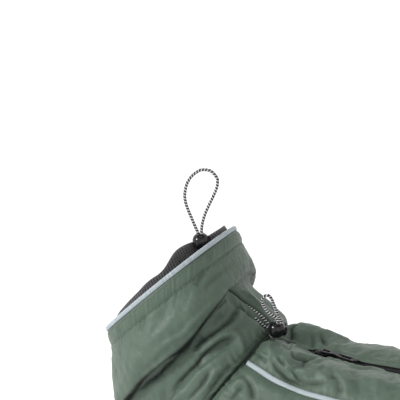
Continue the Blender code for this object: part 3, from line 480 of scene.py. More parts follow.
BODY_CREASES = (
    Crease(-4.8, 13, False, ((0.6, 18), (1.3, 18.5), (1.8, 20), (2.2, 21), (2.7, 21.5))),
    Crease(-2.8, 10, False, ((3, 21.5), (3.5, 22), (4, 24), (4.6, 20))),
    Crease(-2.8, 1.5, True, ((0.46, -21), (1.57, -24.5), (2, -25.8), (2.14, -26))),
    Crease(-2.1, 1.4, True, ((0.89, -18.5), (1.85, -22.8), (2.19, -23.5))),
    Crease(1.4, 2, False, ((0.07, -8.5), (1.92, -20), (2.24, -20.8))),
    Crease(-4.5, 3, True, ((2.05, -3.8), (1.86, 4.2), (1.58, 9.8), (1.8, 12.2))),
    Crease(-3.4, 4.5, False, ((3.07, 12.2), (3.38, 9.2), (3.54, 6.2))),
    Crease(-2.5, 4, False, ((2.75, 10.2), (3.02, 6), (3.18, 1.2))),
    Crease(-4.2, 5.5, False, ((2.42, -9.8), (3.1, -16.8), (3.36, -14.2), (3.52, -11.2))),
    Crease(3.6, 3.2, False, (
        (2.64, -19), (3.1, -22.2), (3.38, -22), (3.75, -22.5), (4.04, -20.8), (4.16, -17.5),
        (4.07, -12.2),
    )),
    Crease(2.2, 2.4, False, ((2.38, 2.2), (2.6, -8.5), (2.76, -17))),
    Crease(-3.1, 2.5, True, ((3.69, -8.8), (3.52, -12.8), (3.52, -16.5), (3.58, -19.8))),
    Crease(2.1, 3, False, (
        (3.79, -10.5), (4.08, -3.5), (4.62, -5.8), (5.08, -8.2), (5.38, -2), (5.91, -10),
    )),
    Crease(-2.2, 5, False, ((4.51, -18), (4.89, -21.8), (5.05, -25.2), (5.08, -28.8))),
    Crease(2, 6, False, ((4.25, -18.8), (4.57, -22.5), (4.75, -26.2))),
    Crease(-2, 7, False, ((5.15, -15.8), (5.39, -21.2), (5.5, -26.2))),
    Crease(1.7, 7, False, ((5.48, -10.2), (5.76, -17.8), (5.88, -22.8))),
    Crease(-3.9, 2.3, True, (
        (2.46, -24.5), (2.78, -26), (3.06, -26.8), (3.4, -28), (3.73, -27.8), (4.04, -27.2),
    )),
    Crease(2.2, 2.2, False, (
        (2.37, -22.5), (2.81, -23.8), (3.22, -24.2), (3.44, -25), (3.65, -27), (3.95, -27),
    )),
    Crease(-2.8, 2.5, True, (
        (3.41, -22.8), (3.65, -25.8), (4, -26.2), (4.35, -25), (4.66, -23), (4.79, -19.8),
    )),
    Crease(1.7, 1.8, False, ((2.93, -22.8), (3.27, -22.5), (3.56, -23.8))),
    Crease(-2.1, 1.8, True, ((2.49, -21.5), (2.89, -22.5), (3.11, -24))),
    Crease(-3.1, 4, False, ((1.39, -37.5), (2.02, -38.5), (2.45, -40.5), (2.75, -43.5))),
    Crease(2.2, 4, False, ((1.18, -44.5), (1.37, -39.8), (1.87, -38.8))),
    Crease(-3.1, 3.4, True, ((1.84, -50.2), (1.77, -44.2), (1.81, -39.8))),
    Crease(2, 9, False, ((2.42, -35.2), (3.1, -34.8), (3.71, -34.8))),
    Crease(-1.7, 8, False, ((1.84, -32.5), (2.69, -32.2), (3.44, -32.5))),
)


def crease_height(creases, surface, points):
    """Sum of the creases at each point, and the painted shade that a sharp one puts on each point.
    """
    height, shade = np.zeros((2, *points.shape[:-1]))
    for crease in creases:
        row, turn = np.array(crease.places, float).T
        line = surface(row, turn)
        line = smooth_table(line, np.linspace(0, len(line) - 1, 5 * len(line)))
        share, distance = nearest_on_line(points, line)
        taper = np.sin(np.pi * np.clip(share, 0.02, 0.98)) ** 0.5
        away = distance / crease.width
        profile = np.exp(-1.2 * away) if crease.sharp else np.exp(-2 * away**2)
        height += crease.depth * taper * profile
        # A sharp, deep crease also gets painted shade along its bottom, for the nylon's colour.
        if crease.sharp and crease.depth < -3:
            deep = min(1.0, -crease.depth / 4.8) * taper * np.exp(-((distance / 1.8) ** 2))
            shade = np.maximum(shade, deep)
    return height, shade


def uneven_turns(spans):
    """Turns from -180 in spans (to this turn, this many)."""
    turns, start = [], -180.0
    for end, count in spans:
        turns += list(np.linspace(start, end, count, endpoint=False))
        start = end
    return np.array(turns)


def even_rows(surface, last, step, turn=-30.0, first=0.0):
    """Rows of a surface at an even step along it."""
    rows = np.linspace(first, last, 1500)
    points = surface(rows, np.full(len(rows), float(turn)))
    length = run_length(points)
    count = int(round(length[-1] / step)) + 1
    return np.interp(np.linspace(0, length[-1], count), length, rows)


def grid_normals(points, closed):
    """Normals of a grid of points, with row and column steps averaged."""
    along = np.gradient(points, axis=0)
    if closed:
        around = (np.roll(points, -1, 1) - np.roll(points, 1, 1)) / 2
    else:
        around = np.gradient(points, axis=1)
    return unit(np.cross(along, around))


def blurred(values, closed, times=2):
    """Grid values averaged with their neighbours."""
    for _ in range(times):
        if closed:
            values = (np.roll(values, 1, 1) + 2 * values + np.roll(values, -1, 1)) / 4
        else:
            ends = np.concatenate([values[:, :1], values, values[:, -1:]], 1)
            values = (ends[:, :-2] + 2 * values + ends[:, 2:]) / 4
        ends = np.concatenate([values[:1], values, values[-1:]], 0)
        values = (ends[:-2] + 2 * values + ends[2:]) / 4
    return values


class Patch:
    """A grid on the surface, with lengths in millimetres along and around it."""

    def __init__(self, points, rows, turns, closed=False):
        self.points, self.rows, self.turns, self.closed = points, rows, turns, closed
        self.normals = grid_normals(points, closed)
        step = np.linalg.norm(np.diff(points, axis=0), axis=-1)
        self.along = np.concatenate([np.zeros((1, points.shape[1])), np.cumsum(step, 0)])
        step = np.linalg.norm(np.diff(points, axis=1), axis=-1)
        self.around = np.concatenate([np.zeros((points.shape[0], 1)), np.cumsum(step, 1)], 1)
        self.height, self.shade = np.zeros((2, *points.shape[:2]))

    def from_edge(self, edge):
        """Distance of every point from an edge: front, rear, first or last."""
        if edge == "front":
            return self.along
        if edge == "rear":
            return self.along[-1:] - self.along
        if edge == "first":
            return self.around
        return self.around[:, -1:] - self.around

    def edge_length(self, edge):
        return self.around if edge in ("front", "rear") else self.along

    def surface(self, lift=0.0):
        return self.points + self.normals * (self.height + lift)[..., None]

    def line(self, edge, distance, lift):
        """Points and normals on the finished cloth at a distance from an edge."""
        points, away = self.surface(lift), self.from_edge(edge)
        across = 0 if edge in ("front", "rear") else 1
        values = np.concatenate([points, self.normals], -1)
        if across == 1:
            values, away = values.transpose(1, 0, 2), away.T
        found = []
        for column in range(values.shape[1]):
            order = np.argsort(away[:, column])
            found.append(
                [
                    np.interp(distance, away[order, column], values[order, column, k])
                    for k in range(6)
                ]
            )
        found = np.array(found)
        if self.closed and across == 0:
            found = np.concatenate([found, found[:1]])
        return found[:, :3], found[:, 3:]


def pucker(length, wave, seed):
    """Uneven waves along a sewn line, from -1 to 1."""
    turn = 2 * math.pi * (length / wave)
    bend = 1.9 * np.sin(turn / 3.7 + seed) + 0.9 * np.sin(turn / 7.9 + 2 * seed)
    size = 0.62 + 0.38 * np.sin(turn / 5.3 + 3 * seed)
    return np.sin(turn + bend) * size


def crumple(points, seed, size, octaves=3):
    """Uneven ridges between flatter places, as in stiff thin cloth, about -1 to 1."""
    draw = np.random.default_rng(seed)
    total = np.zeros(points.shape[:-1])
    for octave in range(octaves):
        wave = size / 1.9**octave
        field = np.zeros(points.shape[:-1])
        for _ in range(5):
            direction = draw.normal(size=3)
            direction /= np.linalg.norm(direction)
            sway = draw.normal(size=3)
            sway /= np.linalg.norm(sway)
            phase = draw.uniform(0, 2 * math.pi, 2)
            bend = 1.3 * np.sin(points @ sway * (2 * math.pi / (wave * 1.7)) + phase[0])
            field += np.sin(points @ direction * (2 * math.pi / wave) + phase[1] + bend)
        total += (0.55 - np.abs(field) / 2.2) / 1.8**octave
    return total


# How each edge of a panel is sewn: a sunk seam, gathers, and a stitched line.
Sewing = namedtuple("Sewing", "edge sink gather wave reach stitch_at groove seed")


def sew(patch, sewing):
    """Adds one edge's seam, gathers and stitch groove to the patch's height."""
    away, length = patch.from_edge(sewing.edge), patch.edge_length(sewing.edge)
    waves = pucker(length, sewing.wave, sewing.seed)
    patch.height -= sewing.sink * np.exp(-away / 1.6)
    patch.height += sewing.gather * waves * np.exp(-away / sewing.reach) * np.clip(away / 1.5, 0, 1)
    patch.height -= sewing.groove * np.exp(-(((away - sewing.stitch_at) / 0.9) ** 2))


# ---------------------------------------------------------------- mesh making


def new_mesh(name, points, faces, uv=None, smooth=True):
    """An object from points in millimetres, faces, and one (u, v) for each face corner."""
    mesh = bpy.data.meshes.new(name)
    mesh.from_pydata((np.asarray(points) * MM).tolist(), [], faces)
    if uv is not None:
        layer = mesh.uv_layers.new(name="cut")
        layer.data.foreach_set("uv", np.asarray(uv, np.float32).ravel())
    mesh.validate()
    if smooth:
        mesh.shade_smooth()
    made = bpy.data.objects.new(name, mesh)
    bpy.context.scene.collection.objects.link(made)
    return made


def finish_piece(piece, material, body, nodes=()):
    piece.data.materials.clear()
    piece.data.materials.append(material)
    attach(piece, body)
    if nodes:
        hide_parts(*nodes)


def painted_fold_shade(patch):
    """Painted shade at each point, from 0 to 1: more the deeper it lies in a narrow fold, and at
    least the painted shade already in the patch.
    """
    narrow = np.clip((blurred(patch.height, patch.closed, 24) - patch.height) / 3.2, 0, 0.8)
    return np.clip(np.maximum(narrow, patch.shade), 0, 1)


def cloth_mesh(name, patch, inner_depth, edge_bulge=0.4):
    """A wall of cloth from a patch: its outer face, a plainer inner face, rounded edges, and its
    painted shade in the 'fold' attribute.
    """
    outer = patch.surface()
    low = np.minimum(blurred(patch.height, patch.closed), 0.0)
    inner = patch.points + patch.normals * (low - inner_depth)[..., None]
    rows, columns = outer.shape[:2]
    wrap = patch.closed
    u = patch.around.mean(0)
    if wrap:
        gap = np.linalg.norm(outer[:, 0] - outer[:, -1], axis=-1).mean()
        u = np.append(u, u[-1] + gap)
    v = patch.along.mean(1)
    row, column = np.mgrid[: rows - 1, : columns if wrap else columns - 1].reshape(2, -1)
    corners = ((0, 0), (0, 1), (1, 1), (1, 0))
    quads = np.stack([(row + r) * columns + (column + c) % columns for r, c in corners], 1)
    uv = np.stack([np.stack([u[column + c], v[row + r]], 1) for r, c in corners], 1)
    points = [outer.reshape(-1, 3), inner.reshape(-1, 3)]
    inside = rows * columns
    faces = [quads, (quads + inside)[:, ::-1]]
    uvs = [uv, uv[:, ::-1]]
    count = 2 * inside
    if wrap:
        loops = [[(r, c) for c in range(columns)] for r in (0, rows - 1)]
        nexts = [[(r + step, c) for c in range(columns)] for r, step in ((0, 1), (rows - 1, -1))]
    else:
        loop = [(0, c) for c in range(columns)]
        loop += [(r, columns - 1) for r in range(1, rows)]
        loop += [(rows - 1, c) for c in range(columns - 2, -1, -1)]
        loop += [(r, 0) for r in range(rows - 2, 0, -1)]
        loops = [loop]
        nexts = [[(min(max(r, 1), rows - 2), min(max(c, 1), columns - 2)) for r, c in loop]]
    for loop, near in zip(loops, nexts):
        r, c = np.array(loop).T
        nr, nc = np.array(near).T
        out = outer[r, c] - outer[nr, nc]
        out = unit(out)
        index = r * columns + c
        rings = [index]
        for share in (0.2, 0.5, 0.8):
            bulge = edge_bulge * math.sin(math.pi * share)
            ring = outer[r, c] * (1 - share) + inner[r, c] * share + out * bulge
            rings.append(count + np.arange(len(loop)))
            points.append(ring)
            count += len(loop)
        rings.append(index + inside)
        here = np.stack([u[c], v[r]], 1)
        beyond = np.roll(here, -1, 0)
        for one, two in zip(rings[:-1], rings[1:]):
            quad = np.stack([one, np.roll(one, -1), np.roll(two, -1), two], 1)
            around = np.stack([here, beyond, beyond, here], 1)
            faces.append(quad[:, ::-1])
            uvs.append(around[:, ::-1])
    uvs = np.concatenate(uvs).reshape(-1, 2)
    made = new_mesh(name, np.concatenate(points), np.concatenate(faces).tolist(), uvs)
    # The 'fold' attribute is painted shade for the nylon's colour: 0.9 on the edges' turned-in
    # cloth, the folds' and creases' painted shade on the outer face, and none on the inner face.
    depth = np.full(count, 0.9, np.float32)  # the edges' turned-in cloth is in shade
    depth[:inside] = painted_fold_shade(patch).ravel()
    depth[inside : 2 * inside] = 0.0
    made.data.attributes.new("fold", "FLOAT", "POINT").data.foreach_set("value", depth)
    return made


def band(first, second, count):
    """Faces between two rings of points, given the number of each ring's first point."""
    return [
        [first + i, first + (i + 1) % count, second + (i + 1) % count, second + i]
        for i in range(count)
    ]


def sweep(name, rings, closed=False):
    """A tube through rings (rings, points, 3), with u round it (0 to 1) and v its length."""
    count, sides = rings.shape[:2]
    centre = rings.mean(1)
    length = run_length(centre)
    beyond = np.append(length[1:], length[-1] + np.linalg.norm(centre[0] - centre[-1]))
    faces, uv = [], []
    for ring in range(count if closed else count - 1):
        faces += band(ring * sides, (ring + 1) % count * sides, sides)
        v0, v1 = length[ring], beyond[ring]
        for side in range(sides):
            u0, u1 = side / sides, (side + 1) / sides
            uv += [(u0, v0), (u1, v0), (u1, v1), (u0, v1)]
    points = rings.reshape(-1, 3)
    if not closed:
        points = np.concatenate([points, centre[:1], centre[-1:]])
        last = (count - 1) * sides
        for side in range(sides):
            after = (side + 1) % sides
            faces.append([side, count * sides, after])
            faces.append([last + after, count * sides + 1, last + side])
            uv += [(0, 0)] * 3 + [(0, length[-1])] * 3
    return outward(new_mesh(name, points, faces, uv))


def outward(piece):
    """Turns a closed mesh's faces out."""
    work = bmesh.new()
    work.from_mesh(piece.data)
    bmesh.ops.recalc_face_normals(work, faces=work.faces)
    work.to_mesh(piece.data)
    work.free()
    return piece


def read_line(at, length, values):
    """Values (n, 3) of a line's points, read at a length along it."""
    return np.array([np.interp(at, length, values[:, k]) for k in range(3)])


def stitches(name, lines, pitch=3.2, length=2.3, radius=0.32):
    """Thread stitches along lines of (points, normals): one small rounded dash each."""
    sides = 5
    profile = ((-0.5, 0.25), (-0.34, 0.85), (0.0, 1.0), (0.34, 0.85), (0.5, 0.25))
    angle = np.arange(sides) * 2 * math.pi / sides
    all_points, faces = [], []
    for points, normals in lines:
        total = run_length(points)
        for index in range(int(total[-1] // pitch)):
            at = (index + 0.5) * pitch
            place, normal = read_line(at, total, points), read_line(at, total, normals)
            along = read_line(at + length / 2, total, points)
            along -= read_line(at - length / 2, total, points)
            along /= max(np.linalg.norm(along), 1e-9)
            normal -= along * (normal @ along)
            normal /= max(np.linalg.norm(normal), 1e-9)
            side = np.cross(along, normal)
            base = len(all_points)
            for share, wide in profile:
                for turn in angle:
                    lift = radius * (wide * math.sin(turn) + 0.35 * (wide - 0.6))
                    across = side * radius * wide * math.cos(turn)
                    all_points.append(place + along * share * length + across + normal * lift)
            last = base + (len(profile) - 1) * sides
            for ring in range(base, last, sides):
                faces += band(ring, ring + sides, sides)
            faces.append([base + s for s in reversed(range(sides))])
            faces.append([last + s for s in range(sides)])
    return new_mesh(name, np.array(all_points), faces)


# ---------------------------------------------------------------- materials


class Nodes:
    """A material's nodes, with short calls to add and join them."""

    def __init__(self, name, colour, roughness):
        self.material = bpy.data.materials.new(name)
        self.material.use_nodes = True
        self.tree = self.material.node_tree
        self.shader = self.tree.nodes["Principled BSDF"]
        self.shader.inputs["Base Color"].default_value = (*colour, 1)
        self.shader.inputs["Roughness"].default_value = roughness

    def add(self, kind, inputs=None, **settings):
        """A node with settings, and inputs by name or number, each a socket or a value."""
        node = self.tree.nodes.new(kind)
        for key, value in settings.items():
            setattr(node, key, value)
        for key, value in (inputs or {}).items():
            if isinstance(value, bpy.types.NodeSocket):
                self.tree.links.new(value, node.inputs[key])
            else:
                node.inputs[key].default_value = value
        return node

    def join(self, socket, name):
        self.tree.links.new(socket, self.shader.inputs[name])

    def object_noise(self, scale, detail=4.0, roughness=0.5, distortion=0.0):
        place = self.add("ShaderNodeTexCoord")
        return self.add(
            "ShaderNodeTexNoise",
            {"Vector": place.outputs["Object"], "Scale": scale, "Detail": detail,
             "Roughness": roughness, "Distortion": distortion},
        ).outputs["Fac"]

    def cut(self):
        """The cloth's own (u, v), in millimetres along its grain, as two sockets."""
        place = self.add("ShaderNodeUVMap", uv_map="cut")
        split = self.add("ShaderNodeSeparateXYZ", {"Vector": place.outputs["UV"]})
        return split.outputs["X"], split.outputs["Y"]

    def set(self, name, value):
        self.shader.inputs[name].default_value = value

    def math(self, operation, one, two=0.0):
        return self.add("ShaderNodeMath", {0: one, 1: two}, operation=operation).outputs[0]

    def mix(self, share, colour, other):
        """A colour socket mixed with another colour by a share socket."""
        node = self.add("ShaderNodeMix", {0: share, 6: colour, 7: (*other, 1)}, data_type="RGBA")
        return node.outputs[2]

    def ramp(self, value, stops):
        node = self.add("ShaderNodeValToRGB", {"Fac": value})
        elements = node.color_ramp.elements
        while len(elements) < len(stops):
            elements.new(0.5)
        for element, (place, colour) in zip(elements, stops):
            element.position = place
            element.color = (*colour, 1)
        return node.outputs["Color"]

    def bump(self, height, distance, strength=1.0, onto=None):
        inputs = {"Height": height, "Distance": distance, "Strength": strength}
        if onto is not None:
            inputs["Normal"] = onto
        return self.add("ShaderNodeBump", inputs).outputs["Normal"]


def half_wave(nodes, value, length, offset=None):
    """A wave from 0 to 1 along a socket's value, moved by a phase where one is given."""
    turned = nodes.math("MULTIPLY", value, 2 * math.pi / length)
    if offset is not None:
        turned = nodes.math("ADD", turned, offset)
    return nodes.math("ADD", nodes.math("MULTIPLY", nodes.math("SINE", turned), 0.5), 0.5)


def grey_ramp(nodes, value, low, high, low_value, high_value):
    return nodes.add(
        "ShaderNodeMapRange",
        {"Value": value, "From Min": low, "From Max": high,
         "To Min": low_value, "To Max": high_value},
    ).outputs["Result"]


def nylon():
    """Green coated nylon: fine plain weave, soft crinkles, and painted shade, made matt, in its
    folds.
    """
    nodes = Nodes("nylon", (0.11, 0.155, 0.11), 0.5)
    u, v = nodes.cut()
    slow = nodes.object_noise(14.0, 3.0)
    fine = nodes.object_noise(180.0, 5.0, 0.6)
    tint = nodes.ramp(slow, ((0.3, (0.064, 0.094, 0.070)), (0.7, (0.080, 0.116, 0.086))))
    weave = nodes.math("MULTIPLY", half_wave(nodes, u, 0.62), half_wave(nodes, v, 0.62))
    share = grey_ramp(nodes, weave, 0.0, 1.0, 0.10, 0.0)
    woven = nodes.mix(share, tint, (0.035, 0.052, 0.038))
    # Painted shade: the 'fold' attribute takes the colour near black in narrow folds, sharp creases
    # and the collar's valley, and makes the cloth matt there.
    fold = nodes.add("ShaderNodeAttribute", attribute_name="fold").outputs["Fac"]
    shaded = nodes.mix(nodes.math("MULTIPLY", fold, 0.93), woven, (0.004, 0.006, 0.005))
    nodes.join(shaded, "Base Color")
    satin = grey_ramp(nodes, fine, 0.3, 0.7, 0.42, 0.56)
    nodes.join(nodes.math("MAXIMUM", satin, fold), "Roughness")
    nodes.set("Sheen Weight", 0.04)
    nodes.set("Sheen Roughness", 0.4)
    nodes.set("Specular IOR Level", 0.3)
    crinkle = nodes.object_noise(95.0, 6.0, 0.55, 0.8)
    first = nodes.bump(crinkle, 0.0009, 0.55)
    nodes.join(nodes.bump(weave, 0.00006, 0.6, first), "Normal")
    return nodes.material


def knit():
    """Charcoal ribbed knit: a fine stitch pattern over the ribs of the mesh."""
    nodes = Nodes("knit", (0.035, 0.034, 0.036), 0.95)
    u, v = nodes.cut()
    slow = nodes.object_noise(40.0, 3.0)
    loops = nodes.math("MULTIPLY", half_wave(nodes, u, 1.55), half_wave(nodes, v, 1.3))
    tint = nodes.ramp(slow, ((0.3, (0.022, 0.021, 0.023)), (0.7, (0.048, 0.046, 0.050))))
    nodes.join(nodes.mix(loops, tint, (0.085, 0.082, 0.088)), "Base Color")
    nodes.set("Sheen Weight", 0.35)
    nodes.set("Sheen Roughness", 0.6)
    fuzz = nodes.object_noise(900.0, 4.0, 0.7)
    first = nodes.bump(fuzz, 0.0004, 0.5)
    nodes.join(nodes.bump(loops, 0.0003, 0.9, first), "Normal")
    return nodes.material


def reflective():
    """Silver-grey reflective tape: tiny grain in rows, soft shine."""
    nodes = Nodes("reflective", (0.55, 0.60, 0.65), 0.4)
    grain = nodes.object_noise(1400.0, 3.0, 0.7)
    slow = nodes.object_noise(60.0, 2.0)
    light = nodes.ramp(slow, ((0.3, (0.29, 0.335, 0.355)), (0.7, (0.36, 0.41, 0.43))))
    share = grey_ramp(nodes, grain, 0.35, 0.7, 0.0, 0.25)
    nodes.join(nodes.mix(share, light, (0.20, 0.23, 0.25)), "Base Color")
    nodes.join(grey_ramp(nodes, grain, 0.3, 0.7, 0.55, 0.72), "Roughness")
    nodes.set("Specular IOR Level", 0.3)
    nodes.join(nodes.bump(grain, 0.00012, 0.7), "Normal")
    return nodes.material


def tape_cloth():
    """Dark grey woven zip tape."""
    nodes = Nodes("zip_cloth", (0.045, 0.046, 0.048), 0.85)
    u, v = nodes.cut()
    weave = nodes.math("MULTIPLY", half_wave(nodes, u, 0.8), half_wave(nodes, v, 1.0))
    colour = nodes.ramp(weave, ((0.0, (0.028, 0.029, 0.031)), (1.0, (0.075, 0.077, 0.080))))
    nodes.join(colour, "Base Color")
    grain = nodes.object_noise(700.0, 3.0)
    first = nodes.bump(grain, 0.0002, 0.5)
    nodes.join(nodes.bump(weave, 0.0002, 0.8, first), "Normal")
    return nodes.material


def hard(name, colour, roughness, specular):
    """Moulded plastic or painted metal, with a fine uneven skin and small scuffs."""
    grain, depth = 260.0, 0.00004
    nodes = Nodes(name, colour, roughness)
    skin = nodes.object_noise(grain, 5.0, 0.6)
    scuff = nodes.object_noise(grain * 2.2, 4.0, 0.7, 1.5)
    light = tuple(c * 1.9 + 0.003 for c in colour)
    nodes.join(nodes.ramp(scuff, ((0.45, colour), (0.8, light))), "Base Color")
    nodes.join(grey_ramp(nodes, skin, 0.3, 0.7, roughness * 0.8, roughness * 1.35), "Roughness")
    nodes.set("Specular IOR Level", specular)
    nodes.join(nodes.bump(skin, depth, 0.6), "Normal")
    return nodes.material


def braid():
    """Braided elastic: black and white ticks, by u round it and v its length."""
    nodes = Nodes("braid", (0.5, 0.5, 0.5), 0.7)
    u, v = nodes.cut()
    around = nodes.math("MULTIPLY", u, 2 * math.pi * BRAID_STRANDS)
    one = half_wave(nodes, v, BRAID_PITCH, around)
    two = half_wave(nodes, v, BRAID_PITCH, nodes.math("MULTIPLY", around, -1.0))
    crossed = nodes.math("ADD", nodes.math("MULTIPLY", two, 0.2), 0.8)
    stops = (
        (0.0, (0.004, 0.004, 0.005)), (0.58, (0.006, 0.006, 0.007)),
        (0.69, (0.42, 0.42, 0.43)), (1.0, (0.72, 0.72, 0.73)),
    )
    nodes.join(nodes.ramp(nodes.math("MULTIPLY", one, crossed), stops), "Base Color")
    first = nodes.bump(nodes.object_noise(1500.0, 4.0, 0.7), 0.0002, 0.5)
    strands = nodes.math("MAXIMUM", one, two)
    nodes.join(nodes.bump(strands, 0.0003, 0.9, first), "Normal")
    nodes.set("Sheen Weight", 0.2)
    return nodes.material


def thread():
    """Sewing thread, close to the nylon's green."""
    nodes = Nodes("thread", (0.085, 0.12, 0.085), 0.6)
    grain = nodes.object_noise(2200.0, 3.0)
    tint = nodes.ramp(grain, ((0.3, (0.055, 0.080, 0.056)), (0.7, (0.12, 0.165, 0.115))))
    nodes.join(tint, "Base Color")
    nodes.join(nodes.bump(grain, 0.0001, 0.6), "Normal")
    return nodes.material


# ---------------------------------------------------------------- cloth pieces


THREAD_LINES = []  # stitched lines, added as the cloth pieces are made
COLLAR_TURN_SPANS = ((-110, 32), (12, 185), (180, 78))  # (to this turn, this many points)
BAND = 13.0  # width of the stitched channel under the rim
RIM_PUCKER = (4.6, 0.4)  # wave and seed of the gathers at the rim


def collar_patch():
    rows = even_rows(collar_surface, len(COLLAR_ROWS) - 1, 1.35, -40.0)
    turns = uneven_turns(COLLAR_TURN_SPANS)
    row, turn = np.meshgrid(rows, turns, indexing="ij")
    points = collar_surface(row, turn) - seam_direction() * GAP / 2
    patch = Patch(points, row, turn, closed=True)
    fade = np.clip((len(COLLAR_ROWS) - 1.2 - row) / 0.6, 0, 1) * np.clip(row / 1.2, 0, 1)
    patch.height += fold_height(FINE_COLLAR_FOLDS, collar_base, row, turn) * fade
    height, shade = crease_height(COLLAR_CREASES, collar_surface, collar_surface(row, turn))
    patch.height += height * fade
    # Painted shade in the valley between the collar's two tiers, weaker at the nape and on the
    # right.
    last = 5.5 + 0.35 * np.exp(-(((turn + 62) / 13) ** 2))
    between = np.clip((row - 3.72) / 0.3, 0, 1) * np.clip((last - row) / 0.3, 0, 1)
    nape = np.clip(np.abs(turn + 4) / 8 - 0.8, 0.2, 1)
    right = 0.35 + 0.65 * np.clip((turn - 75) / 25, 0, 1)
    dark = np.where(turn > -4, np.minimum(nape, right), nape)
    patch.shade = np.maximum(shade, between * dark)
    return patch


def make_collar(nylon_cloth):
    patch = collar_patch()
    depth = patch.from_edge("front")
    around = patch.around
    inside_band = np.clip(depth / BAND, 0, 1)
    hump = np.sin(np.pi * inside_band)
    small = pucker(around, *RIM_PUCKER)
    patch.height += hump * (0.7 + 0.55 * small)
    patch.height -= 0.8 * np.exp(-(((depth - BAND) / 1.2) ** 2))
    below = np.clip(depth - BAND, 0, None)
    patch.height += 0.5 * pucker(around, 7.5, 1.7) * np.exp(-below / 7.0) * (depth > BAND)
    loose = np.clip(below / 12.0, 0, 1) * np.clip((patch.from_edge("rear") - 4) / 10.0, 0, 1)
    patch.height += 0.5 * crumple(patch.points, 11, 46.0) * loose
    patch.height += 0.25 * crumple(patch.points, 12, 17.0, 2) * loose
    sew(patch, Sewing("rear", 0.4, 1.1, 8.5, 10.0, 9.0, 0.7, 2.3))
    cloth = cloth_mesh("collar_cloth", patch, WALL)
    for edge, distance in (("front", BAND), ("front", 2.2), ("rear", 9.0)):
        THREAD_LINES.append(patch.line(edge, distance, 0.1))
    finish_piece(cloth, nylon_cloth, "coat", ("collar_shell",))
    return patch


RIBS, RIB_POINTS = 122, 6
LINING_STEPS = 30


def make_lining(knit_cloth):
    """Ribbed inner collar, whose top edge slumps a little at the left."""
    columns = RIBS * RIB_POINTS
    turns = -180 + np.arange(columns) * 360.0 / columns
    length = math.hypot(RIM.nape_x - SEAM.nape_x, RIM.nape_z - SEAM.nape_z)
    top = by_turn(LINING_TURNS, "inside", turns)
    stand = by_turn(LINING_TURNS, "stand", turns) - 5.5 * np.exp(-(((turns + 51) / 17) ** 2))
    along, inside = [-stand / length], [top]
    for row in LINING_ROWS:
        along.append(np.full(columns, row.along))
        inside.append(row.inside + (top - LINING_ROWS[0].inside) * row.follow)
    along, inside = np.array(along), np.array(inside)
    at = np.linspace(0, len(along) - 1, LINING_STEPS + 1)
    share = np.stack([np.interp(at, np.arange(len(along)), column) for column in along.T], 1)
    deep = np.stack([smooth_table(column[:, None], at)[:, 0] for column in inside.T], 1)
    turn = np.broadcast_to(turns, share.shape)
    points = collar_ring(share, -deep, turn) - seam_direction() * GAP / 2
    patch = Patch(points, share, turn, closed=True)
    rib = np.abs(np.sin(np.pi * np.arange(columns) / RIB_POINTS)) ** 0.7
    patch.height += 0.75 * (rib[None, :] - 0.9)
    patch.height += 0.5 * crumple(patch.points, 21, 60.0, 2) - 0.3
    cloth = cloth_mesh("collar_knit", patch, KNIT_WALL - 0.5, 0.9)
    finish_piece(cloth, knit_cloth, "coat", ("collar_lining",))


def degrees_of(length, row, turn):
    around = body_base(row, turn + 0.5) - body_base(row, turn - 0.5)
    return length / np.linalg.norm(around, axis=-1)


def zip_half_opening(x):
    opening = np.array(ZIP_OPENING)
    return np.interp(x, opening[:, 0], opening[:, 1])


def body_rows(fine, coarse, change=150.0):
    """Rows of the body, close together over the withers and further apart behind."""
    middle = spine_row(change)
    front = even_rows(body_surface, middle, fine)
    rear = even_rows(body_surface, len(SECTIONS) - 1, coarse, first=middle)
    return np.concatenate([front, rear[1:]])


def body_patch(rows, first, last, columns, lift=0.0, creased=True):
    """A panel between two edge turns given by row."""
    share = np.linspace(0, 1, columns)[None, :]
    turn = first[:, None] * (1 - share) + last[:, None] * share
    row = np.repeat(rows[:, None], columns, 1)
    lift = np.broadcast_to(np.asarray(lift, float).reshape(-1, 1), row.shape)
    patch = Patch(body_surface(row, turn, lift) + seam_direction() * GAP / 2, row, turn)
    flip = 1.0 if last[0] > first[0] else -1.0
    patch.normals = patch.normals * flip
    patch.height += fold_height(FINE_BODY_FOLDS, body_base, row, turn) * np.clip(row / 0.6, 0, 1)
    if creased:
        height, patch.shade = crease_height(BODY_CREASES, body_surface, body_surface(row, turn))
        patch.height += height
    return patch


def edge_fade(patch, reach=9.0):
    fade = np.ones(patch.points.shape[:2])
    for edge in ("front", "rear", "first", "last"):
        fade = fade * np.clip(patch.from_edge(edge) / reach, 0, 1)
    return fade


SEWINGS = {
    "back": (
        Sewing("front", 0.3, 0.9, 7.5, 12.0, 6.5, 0.7, 1.1),
        Sewing("last", 0.6, 0.35, 9.0, 6.0, 4.0, 0.35, 2.1),
        Sewing("first", 0.5, 0.35, 11.0, 5.0, 4.5, 0.45, 3.1),
        Sewing("rear", 0.3, 0.2, 10.0, 5.0, 8.0, 0.4, 0.7),
    ),
    "side": (
        Sewing("front", 0.3, 0.8, 8.0, 13.0, 7.0, 0.7, 0.3),
        Sewing("first", 0.6, 0.35, 10.0, 6.0, 4.0, 0.35, 1.3),
        Sewing("last", 0.3, 0.3, 10.0, 6.0, 6.0, 0.5, 2.3),
        Sewing("rear", 0.3, 0.2, 10.0, 5.0, 8.0, 0.4, 3.3),
    ),
    "chest": (
        Sewing("front", 0.3, 0.8, 8.0, 12.0, 7.0, 0.7, 0.9),
        Sewing("first", 0.3, 0.25, 10.0, 6.0, 6.0, 0.5, 1.9),
        Sewing("last", 0.3, 0.25, 10.0, 6.0, 6.0, 0.5, 2.9),
        Sewing("rear", 0.3, 0.2, 10.0, 6.0, 8.0, 0.5, 3.9),
    ),
}
WRINKLES = {"back": 0.9, "side": 0.6, "chest": 0.9}  # height of a panel's uneven ridges


